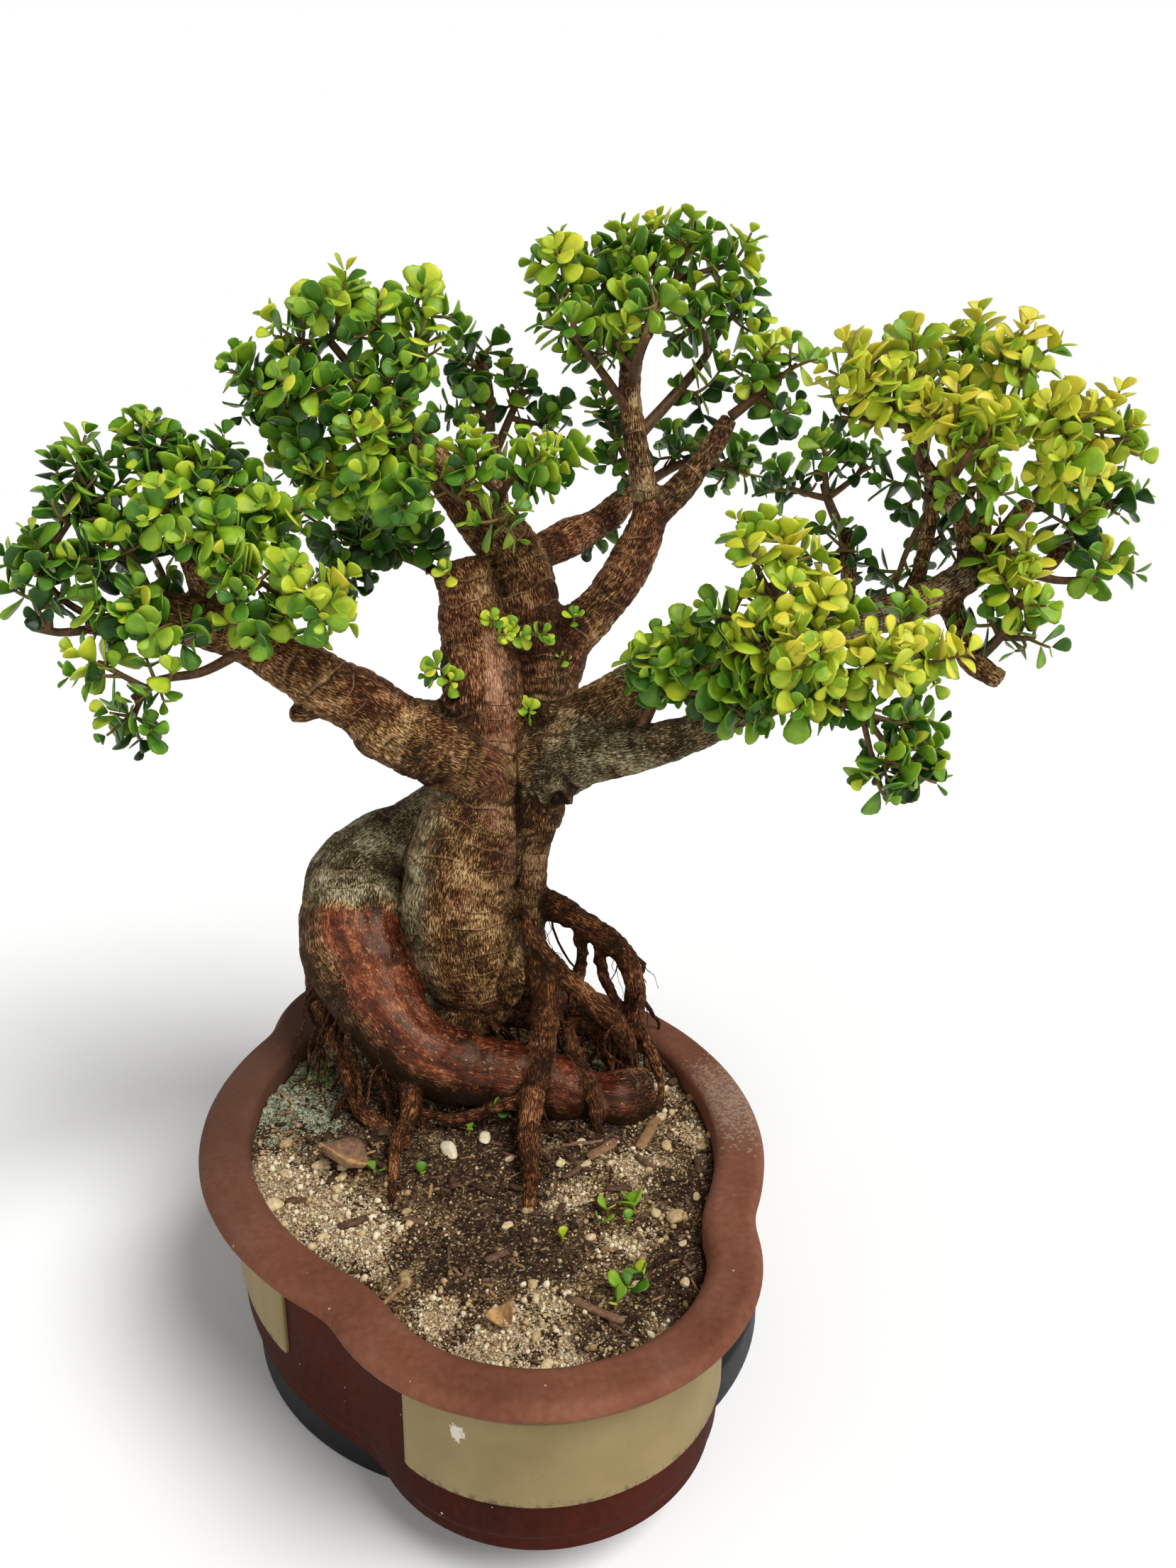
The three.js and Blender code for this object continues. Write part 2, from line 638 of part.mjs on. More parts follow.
// The twig has a ring at its root, a pair of rings for each pair of leaves, which open between
// them, and a ring from which four leaves open round its tip.
function shootGeometry({ curve, size, roll, pairs }, grow = 0) {
  const length = curve.getLength();
  const rise = leaf.footHeight / 2;
  const pairMarks = pairs.flatMap(({ at }) => [at * length - rise, at * length + rise]);
  const marks = [0, ...pairMarks, length - leaf.footHeight];
  const frames = framesAlong(curve, marks.map((mark) => curve.getUtoTmapping(0, mark)));
  const corner = ({ point, side, up }, angle, reach) =>
    point
      .clone()
      .addScaledVector(side, reach * Math.cos(angle))
      .addScaledVector(up, reach * Math.sin(angle));
  const quarter = Math.PI / 2;
  const points = frames.flatMap((frame) =>
    [0, 1, 2, 3].map((j) => corner(frame, roll + (j + 0.5) * quarter, leaf.twigRadius + grow)),
  );
  const tip = points.length;
  const root = tip + 1;
  points.push(curve.getPoint(1));
  points.push(frames[0].point.clone().addScaledVector(frames[0].tangent, -0.5));
  const faces = [];
  const openLeaf = (frame, base, j, corners, lift, share) => {
    const outward = corner(frame, roll + (j + 1) * quarter, 1).sub(frame.point);
    const blade = leafPoints(base, outward, frame.tangent, lift, size * share, grow);
    const start = points.length;
    points.push(blade.right, blade.left, blade.tipRight, blade.tipLeft, blade.crown);
    faces.push(...leafFaces(...corners, start));
  };
  for (let j = 0; j < 4; j++) {
    const next = (j + 1) % 4;
    faces.push(root, next, j);
    for (let i = 0; i < frames.length - 1; i++) {
      const [a, b] = [i * 4 + j, i * 4 + next];
      const [c, d] = [b + 4, a + 4];
      const pair = i % 2 === 1 ? pairs[(i - 1) / 2] : null;
      if (pair && (j + pair.turned) % 2 === 0) {
        const base = frames[i].point.clone().lerp(frames[i + 1].point, 0.5);
        openLeaf(frames[i], base, j, [a, b, c, d], leaf.liftOfPair, 1);
      } else {
        faces.push(a, b, c, a, c, d);
      }
    }
    const end = frames[frames.length - 1];
    const last = (frames.length - 1) * 4;
    openLeaf(end, end.point, j, [last + j, last + next, tip, tip], leaf.liftAtTip, 0.92);
  }
  const geometry = new THREE.BufferGeometry().setFromPoints(points);
  geometry.setIndex(faces);
  return geometry;
}

const onePair = { at: 0.55, turned: 0 };
const twoPairs = [
  { at: 0.38, turned: 0 },
  { at: 0.68, turned: 1 },
];

// A shoot leaves the stem at a point and bends up a little. It bears one or two pairs of leaves,
// the second pair a quarter turn on from the first, below the four at its tip.
function shootFrom(root, direction, length, pairCount, random) {
  const upward = new THREE.Vector3(0, 0, 1);
  const middle = root.clone().addScaledVector(direction, length * 0.55);
  const end = middle
    .clone()
    .addScaledVector(direction, length * 0.4)
    .addScaledVector(upward, length * 0.16);
  return {
    curve: new THREE.QuadraticBezierCurve3(root, middle, end),
    size: 0.88 + 0.24 * random(),
    roll: random() * Math.PI,
    pairs: pairCount === 1 ? [onePair] : twoPairs,
  };
}

function boxesMeet(a, b) {
  const [first, second] = [a.boundingBox(), b.boundingBox()];
  return [0, 1, 2].every(
    (k) => first.min[k] < second.max[k] && second.min[k] < first.max[k],
  );
}

function isClear(solid, others) {
  return others.every((other) => !boxesMeet(solid, other) || solid.intersect(other).isEmpty());
}

const goldenAngle = Math.PI * (3 - Math.sqrt(5));
const firstSeed = 101;

// A direction that leans away from the frame's tangent by splay, turned round it by angle.
function leaning({ tangent, side, up }, splay, angle) {
  return tangent
    .clone()
    .multiplyScalar(Math.cos(splay))
    .addScaledVector(side, Math.sin(splay) * Math.cos(angle))
    .addScaledVector(up, Math.sin(splay) * Math.sin(angle));
}

// A stem is thin where it leaves the limb and ends in a jagged core, two rings of points like leaf
// tips, the dense middle of its foliage, which the leaves stand out of. Fullness is the core's
// share of its full radius.
const coreShape = [
  { at: 0.36, share: 0.12 },
  { at: 0.6, share: 0.9 },
  { at: 0.9, share: 1 },
];

function stemSkin(path, fullness, withRoot, grow) {
  const rings = withRoot ? [{ at: 0, share: 0 }, ...coreShape] : coreShape;
  const steps = rings.map(({ at }) => at);
  const radii = rings.map(({ at, share }) =>
    Math.max(radiusAt(path, at), core.radius * fullness * share),
  );
  return solidOf(sweep(curveThrough(path), steps, radii, core.sides, core.ribs, grow));
}

// The fullest core that stays clear of the obstacles.
function fittedFullness(path, obstacles) {
  const choices = [1, 0.85, 0.7, 0.55, 0.4, 0.2];
  const fits = (fullness) => isClear(stemSkin(path, fullness, false, shoot.room), obstacles);
  return choices.find(fits) ?? 0;
}

// Places shoots round a stem by the golden angle, the last one at its tip, and turns each one on
// and shortens it a little until it is clear of all that stands there already.
function shootsOn(path, random, obstacles) {
  const stemCurve = curveThrough(path);
  const grown = [];
  const mostTurns = 12;
  for (let k = 0; k < shoot.perStem; k++) {
    const atTip = k === shoot.perStem - 1;
    const t = atTip ? 0.97 : 0.6 + (0.3 * k) / shoot.perStem;
    const [frame] = framesAlong(stemCurve, [t]);
    for (let turn = 0; turn < mostTurns; turn++) {
      const angle = k * goldenAngle + turn * 0.7 + random() * 2;
      const direction = leaning(frame, atTip ? 0.15 : shoot.splay, angle);
      const reach = THREE.MathUtils.lerp(shoot.shortest, shoot.longest, random());
      const pairCount = atTip && random() < 0.4 ? 2 : 1;
      const twig = shootFrom(frame.point, direction, reach - turn / 2, pairCount, random);
      const withRoom = solidOf(shootGeometry(twig, shoot.room));
      if (isClear(withRoom, [...obstacles, ...grown])) {
        grown.push(solidOf(shootGeometry(twig)));
        break;
      }
    }
  }
  return grown;
}

// Every leafy stem, each clear of the wood, of the other stems and of the shoots grown before it.
function makeFoliage(woodWithRoom) {
  const names = Object.keys(stems);
  const bareStems = names.map((name) => stemSkin(stems[name], 0, true, shoot.room));
  const fullness = [];
  const dressed = names.map((name, index) => {
    const others = bareStems.filter((_, other) => other !== index);
    const before = names.slice(0, index).map((earlier, i) =>
      stemSkin(stems[earlier], fullness[i], false, shoot.room),
    );
    fullness.push(fittedFullness(stems[name], [woodWithRoom, ...others, ...before]));
    return stemSkin(stems[name], fullness[index], true, shoot.room);
  });
  const grownBefore = [];
  return names.map((name, index) => {
    const others = dressed.filter((_, other) => other !== index);
    const random = seeded(firstSeed + index);
    const grown = shootsOn(stems[name], random, [woodWithRoom, ...others, ...grownBefore]);
    grownBefore.push(...grown);
    const body = grown.reduce(
      (joined, next) => joined.add(next),
      stemSkin(stems[name], fullness[index], true, 0),
    );
    return { name: "spray_" + name, solid: largestBody(body.subtract(woodWithRoom)) };
  });
}

// The bonsai

const bonsai = new THREE.Group();
const woodWithRoom = joinedLimbs(clearance);
bonsai.add(meshOf("stand", solidOf(makeStand()), materials.stand));
bonsai.add(meshOf("pot", makePot(), materials.clay));
bonsai.add(meshOf("soil", makeSoil(woodWithRoom), materials.soil));
bonsai.add(meshOf("wood", joinedLimbs(0), materials.bark));
for (const { name, solid } of makeFoliage(woodWithRoom)) {
  bonsai.add(meshOf(name, solid, materials.leaf));
}

export default bonsai;
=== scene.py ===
import functools
import itertools

import bpy
import numpy as np
from mathutils import Matrix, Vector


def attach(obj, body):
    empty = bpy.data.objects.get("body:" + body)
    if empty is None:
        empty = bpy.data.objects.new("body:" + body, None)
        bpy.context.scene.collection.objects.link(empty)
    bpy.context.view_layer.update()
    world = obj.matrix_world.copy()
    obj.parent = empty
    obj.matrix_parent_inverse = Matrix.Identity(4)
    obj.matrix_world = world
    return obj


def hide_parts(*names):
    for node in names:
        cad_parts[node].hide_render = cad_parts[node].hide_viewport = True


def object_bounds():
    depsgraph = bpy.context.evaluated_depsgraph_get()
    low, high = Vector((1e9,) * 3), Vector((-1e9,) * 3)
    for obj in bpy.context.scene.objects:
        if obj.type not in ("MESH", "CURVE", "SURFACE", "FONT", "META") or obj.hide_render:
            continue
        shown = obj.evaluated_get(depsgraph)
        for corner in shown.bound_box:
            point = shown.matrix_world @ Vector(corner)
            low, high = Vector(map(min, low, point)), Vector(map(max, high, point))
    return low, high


# The looks of a dwarf jade bonsai: bark, leaves, soil, a four-lobed clay pot and its round stand.
# Lengths are millimetres in the object's own frame, and become metres when a mesh is made.

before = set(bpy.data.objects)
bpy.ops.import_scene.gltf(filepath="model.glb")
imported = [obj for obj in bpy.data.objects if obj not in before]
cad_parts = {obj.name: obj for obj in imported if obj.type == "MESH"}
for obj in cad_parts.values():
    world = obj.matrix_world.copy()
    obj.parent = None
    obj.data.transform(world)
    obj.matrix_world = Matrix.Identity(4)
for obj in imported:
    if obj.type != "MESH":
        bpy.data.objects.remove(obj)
cad_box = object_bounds()
MM = 0.001

# Driving dimensions, the same as the solids'

stand_radius, stand_height = 159, 30
stand_centre = np.array([17, -4])
pot_base = 30.3
pot_height = 106
end_reach, side_reach = 245, 170
notch_x, notch_y, notch_round = 115, 148, 60
rim_width, lip_height = 28, 14
inner_inset = rim_width + 1.5
wall_inset, foot_inset, foot_height = 21, 23.5, 10
pot_floor = 14
drain_radius, drain_y = 11, 95
band_low, band_high, band_relief, band_depth = 31, 80, 1.2, 4
end_band_half_angle, side_band_half_angle = 61, 24
soil_top = pot_base + pot_height - 15
chip_place = np.array([-68, -205, 99])
sandy_rim = np.array([150, -40, 136])

# Limbs of the woody part: points x, y, z, radius from the joint outwards.

limbs = {
    "trunk": [
        (9, 75, 155, 25), (16, 78, 181, 33.5), (10, 81, 218, 38), (8, 82, 251, 37.5),
        (14, 82, 283, 35), (24, 81, 314, 30.5), (30, 81, 344, 28.5),
    ],
    "coil": [
        (20, 112, 307, 24), (-5, 124, 284, 22.5), (-31, 125, 270, 25.5), (-52, 122, 257, 31.5),
        (-57, 113, 237, 35.5), (-60, 102, 218, 36), (-54, 83, 197, 32.5), (-47, 63, 179, 26),
        (-30, 45, 160, 24), (-6, 32, 149, 23), (24, 21, 145, 22), (48, 13, 137, 20),
        (58, 7, 133, 20), (73, 0, 132, 15.5), (88, -8, 131, 19), (107, -1, 129, 16),
    ],
    "stump": [
        (29, 79, 345, 28), (25, 76, 374, 26), (23, 74, 401, 24), (20, 76, 428, 21.5),
        (17, 77, 450, 18.5), (13, 78, 466, 17),
    ],
    "leader": [
        (56, 91, 335, 27), (63, 92, 386, 24), (60, 95, 423, 23), (56, 97, 450, 21.5),
        (45, 99, 475, 19.5), (28, 100, 492, 16), (10, 100, 515, 13), (-7, 100, 536, 10),
        (-22, 101, 555, 7.5), (-37, 104, 570, 5),
    ],
    "hind": [
        (62, 84, 326, 19.5), (60, 87, 296, 18), (56, 90, 265, 16.5), (53, 92, 234, 16.5),
        (51, 88, 199, 19.5), (47, 84, 169, 20.5),
    ],
    "left": [
        (28, 75, 334, 27.5), (-4, 76, 353, 26), (-30, 76, 364, 23.5), (-51, 76, 383, 20.5),
        (-72, 76, 396, 19), (-95, 78, 412, 17), (-118, 80, 427, 15), (-138, 80, 434, 14),
        (-158, 82, 441, 13), (-179, 86, 437, 8), (-201, 92, 433, 4.5),
    ],
    "right_back": [
        (74, 93, 376, 19.5), (86, 93, 411, 17.5), (105, 92, 430, 15.5), (124, 92, 451, 15),
        (136, 94, 471, 14), (145, 97, 491, 13),
    ],
    "right_low": [
        (52, 77, 331, 26.5), (72, 51, 344, 25), (88, 28, 353, 18.5), (103, 6, 360, 14.5),
        (120, -21, 372, 11.5), (136, -48, 389, 9), (155, -70, 407, 6.5), (177, -83, 413, 4.5),
    ],
    "right": [
        (52, 77, 336, 26.5), (74, 57, 356, 23.5), (99, 33, 383, 18.5), (127, 13, 405, 15.5),
        (160, -5, 421, 13.5), (198, -21, 430, 12), (235, -30, 438, 11.5), (269, -36, 448, 11),
        (293, -42, 463, 10.5),
    ],
    "knob_right": [(63, 63, 334, 18), (60, 59, 318, 16), (58, 64, 298, 13)],
    "leader_side": [
        (57, 99, 463, 11.5), (88, 112, 473, 12), (122, 127, 485, 10.5), (151, 138, 505, 7.5),
    ],
    "top_riser": [
        (145, 97, 489, 11), (139, 102, 520, 8.5), (135, 105, 546, 7.5), (133, 108, 570, 7),
        (136, 109, 589, 6.5), (145, 108, 606, 5),
    ],
    "top_fork": [(145, 97, 489, 10), (164, 93, 507, 9), (181, 90, 529, 8), (195, 88, 551, 6)],
    "right_riser_left": [
        (293, -42, 463, 7.5), (286, -41, 492, 6), (270, -40, 512, 5.5), (256, -37, 527, 4.5),
    ],
    "right_riser_right": [(295, -42, 463, 7.5), (307, -53, 488, 6), (314, -62, 506, 5)],
    "right_riser_mid": [(296, -41, 467, 6), (309, -29, 494, 5), (310, -20, 527, 4)],
    "right_end": [(297, -43, 464, 6), (316, -51, 471, 5.5), (336, -57, 469, 5), (349, -59, 488, 4)],
    "right_riser_hind": [(257, -33, 444, 6.5), (275, -18, 465, 5), (287, -8, 506, 4.5)],
    "right_droop": [
        (281, -40, 450, 7.5), (286, -47, 430, 6.5), (291, -54, 414, 7.5), (306, -63, 402, 6.5),
    ],
    "back_riser": [(218, -24, 434, 6), (240, 6, 455, 5), (251, 31, 483, 5)],
    "low_riser": [(133, -45, 388, 6.5), (148, -61, 415, 5.5), (154, -60, 435, 4.5)],
    "left_riser": [(-133, 81, 438, 7.5), (-141, 88, 466, 6), (-148, 92, 493, 5)],
    "left_cut": [(-68, 77, 387, 8.5), (-85, 77, 379, 6), (-94, 78, 378, 4.5)],
    "crest_cut": [(-7, 100, 536, 7.5), (-24, 91, 527, 7), (-35, 86, 523, 6)],
    "hind_riser": [(55, 104, 459, 7), (55, 140, 501, 6), (55, 156, 540, 5)],
    "root_arch": [
        (57, 90, 238, 9.5), (77, 79, 229, 10), (97, 63, 218, 9), (113, 49, 203, 7.5),
        (118, 39, 182, 7), (113, 32, 162, 6.5), (105, 27, 140, 6), (94, 20, 121, 6),
    ],
    "root_arch_brace": [(99, 61, 212, 4.5), (99, 54, 191, 4), (105, 44, 174, 4), (108, 34, 157, 4)],
    "root_arch_prop": [(88, 69, 215, 4.5), (88, 64, 198, 4), (83, 60, 181, 4.5), (85, 51, 168, 4)],
    "root_slant": [
        (43, 59, 243, 4), (51, 52, 222, 5), (64, 41, 204, 6), (81, 31, 186, 6), (96, 21, 172, 6),
        (103, 15, 157, 5.5),
    ],
    "root_long": [
        (56, 52, 208, 8.5), (55, 38, 190, 10), (49, 27, 170, 9.5), (41, 11, 155, 9),
        (28, -16, 145, 8), (20, -37, 134, 6.5), (14, -60, 126, 5), (7, -83, 119, 3.5),
    ],
    "root_left": [
        (-87, 113, 208, 7), (-86, 100, 182, 6.5), (-79, 85, 163, 5.5), (-74, 64, 147, 5.5),
        (-73, 45, 134, 5.5), (-65, 29, 125, 5.5), (-55, 17, 119, 4.5),
    ],
    "root_left_strand": [
        (-74, 96, 182, 4), (-64, 78, 161, 3.5), (-56, 58, 144, 3), (-52, 40, 131, 3),
        (-53, 23, 120, 2.5),
    ],
    "root_fork": [
        (-37, 43, 152, 7), (-40, 20, 139, 6.5), (-47, 2, 132, 5.5), (-56, -12, 129, 4.5),
        (-61, -31, 124, 3.5), (-66, -51, 118, 2.5),
    ],
    "root_creep": [
        (25, -11, 146, 4), (8, -5, 139, 4), (-13, 2, 131, 3.5), (-31, 13, 131, 3),
        (-42, 17, 136, 3),
    ],
    "root_mid": [
        (66, 30, 166, 5), (68, 6, 150, 5.5), (69, -16, 139, 5), (68, -26, 125, 4),
        (67, -34, 118, 3),
    ],
    "root_right": [
        (114, 32, 162, 4.5), (120, 17, 147, 4), (121, 2, 134, 3.5), (115, -15, 122, 2.5),
    ],
    "root_under": [(36, 70, 164, 10.5), (64, 54, 160, 10), (85, 40, 160, 9), (93, 29, 149, 6)],
}
roots_in_soil = [
    "root_arch", "root_arch_brace", "root_arch_prop", "root_slant", "root_long", "root_left",
    "root_left_strand", "root_fork", "root_mid", "root_right", "root_under",
]
root_depth = 14
path_step = 3.0

# Leafy stems: points x, y, z, radius, each from inside the limb that bears it.

stems = {
    "left_tip": [(-202, 92, 432, 2.8), (-216, 94, 431, 2.4), (-230, 96, 434, 2)],
    "left_corner": [(-191, 89, 435, 2.4), (-213, 100, 449, 2), (-227, 109, 468, 1.6)],
    "left_rise_outer": [(-163, 84, 442, 3.6), (-173, 89, 470, 3.2), (-185, 95, 498, 2.4)],
    "left_rise_mid": [(-147, 92, 492, 3.2), (-155, 97, 517, 2.4), (-156, 98, 525, 2)],
    "left_rise_inner": [(-140, 88, 466, 3.2), (-115, 99, 491, 2.4), (-101, 101, 508, 2)],
    "left_front": [(-98, 79, 414, 4.2), (-95, 61, 445, 3.2), (-86, 37, 464, 2.4)],
    "left_behind": [(-156, 93, 446, 3.2), (-157, 131, 453, 2.6), (-161, 141, 458, 2.2)],
    "left_hanging": [
        (-117, 71, 420, 3.6), (-142, 67, 409, 2.8), (-164, 66, 406, 2.4), (-180, 68, 396, 2),
    ],
    "crest_tip": [(-35, 103, 567, 3), (-53, 108, 590, 2.4), (-64, 109, 603, 2)],
    "crest_rise": [(-18, 100, 557, 3.4), (-4, 99, 577, 2.6), (2, 99, 599, 2)],
    "crest_left": [(-23, 101, 555, 3), (-52, 105, 550, 2.6), (-76, 112, 560, 2)],
    "crest_low": [(-6, 98, 524, 3.4), (-29, 97, 508, 2.6), (-55, 104, 511, 2.2)],
    "crest_front": [(38, 97, 481, 4), (34, 67, 500, 3), (38, 45, 519, 2)],
    "hind_rise": [(54, 156, 542, 3.2), (55, 163, 570, 2.8), (51, 168, 590, 2.4)],
    "hind_side": [(56, 152, 528, 3.2), (72, 157, 559, 2.4), (78, 156, 568, 2.4)],
    "hind_left": [(17, 87, 442, 4), (3, 135, 458, 3.6), (-25, 159, 468, 2.8)],
    "top_tip": [(145, 106, 609, 3.6), (152, 103, 625, 2.6), (167, 98, 639, 2.2)],
    "top_right": [(195, 87, 552, 3.6), (216, 83, 568, 2.8), (223, 81, 573, 2.2)],
    "top_mid": [
        (140, 106, 541, 4.2), (165, 112, 564, 3.6), (186, 113, 587, 2.8), (198, 113, 608, 2.4),
    ],
    "top_left": [(133, 108, 570, 4), (127, 114, 602, 3.2), (119, 119, 631, 2.6)],
    "top_left_low": [(135, 106, 550, 3.6), (109, 97, 579, 2.6), (90, 98, 600, 2.2)],
    "top_front": [(134, 108, 569, 3.6), (122, 61, 591, 2.6), (123, 53, 596, 2)],
    "behind_top": [(154, 139, 506, 3.8), (185, 142, 521, 3), (200, 140, 522, 2.4)],
    "far_back": [(249, 27, 477, 3.6), (248, 51, 503, 2.8), (247, 55, 511, 2.2)],
    "right_rise_left": [(257, -37, 523, 3.2), (246, -34, 548, 2.4), (242, -32, 556, 2)],
    "right_rise_right": [(315, -63, 508, 3.2), (323, -71, 522, 2.4), (331, -78, 543, 2)],
    "right_rise_mid": [(310, -21, 521, 3.4), (307, -17, 559, 2.6), (308, -17, 569, 2)],
    "right_far": [(351, -60, 490, 3.4), (367, -65, 503, 2.4), (374, -68, 507, 2)],
    "right_behind": [(286, -9, 501, 3.4), (291, 16, 535, 2.6), (285, 24, 541, 2.2)],
    "right_front": [(269, -41, 510, 3.2), (255, -77, 528, 2.2), (254, -84, 534, 1.8)],
    "right_drop": [(292, -55, 413, 3.8), (303, -62, 428, 3), (305, -75, 450, 2.4)],
    "right_low_side": [(314, -55, 468, 3.4), (334, -68, 461, 2.4), (355, -80, 463, 2)],
    "low_tip": [(176, -83, 413, 3), (191, -88, 416, 2.2), (208, -94, 421, 2)],
    "low_rise": [(153, -61, 429, 3.4), (156, -59, 458, 2.6), (154, -57, 465, 2.4)],
    "low_left": [(102, 9, 364, 3.8), (108, -2, 387, 3.4), (108, -17, 411, 2.4)],
    "low_hanging": [(169, -79, 411, 3), (183, -90, 403, 2.2), (202, -96, 392, 2)],
}
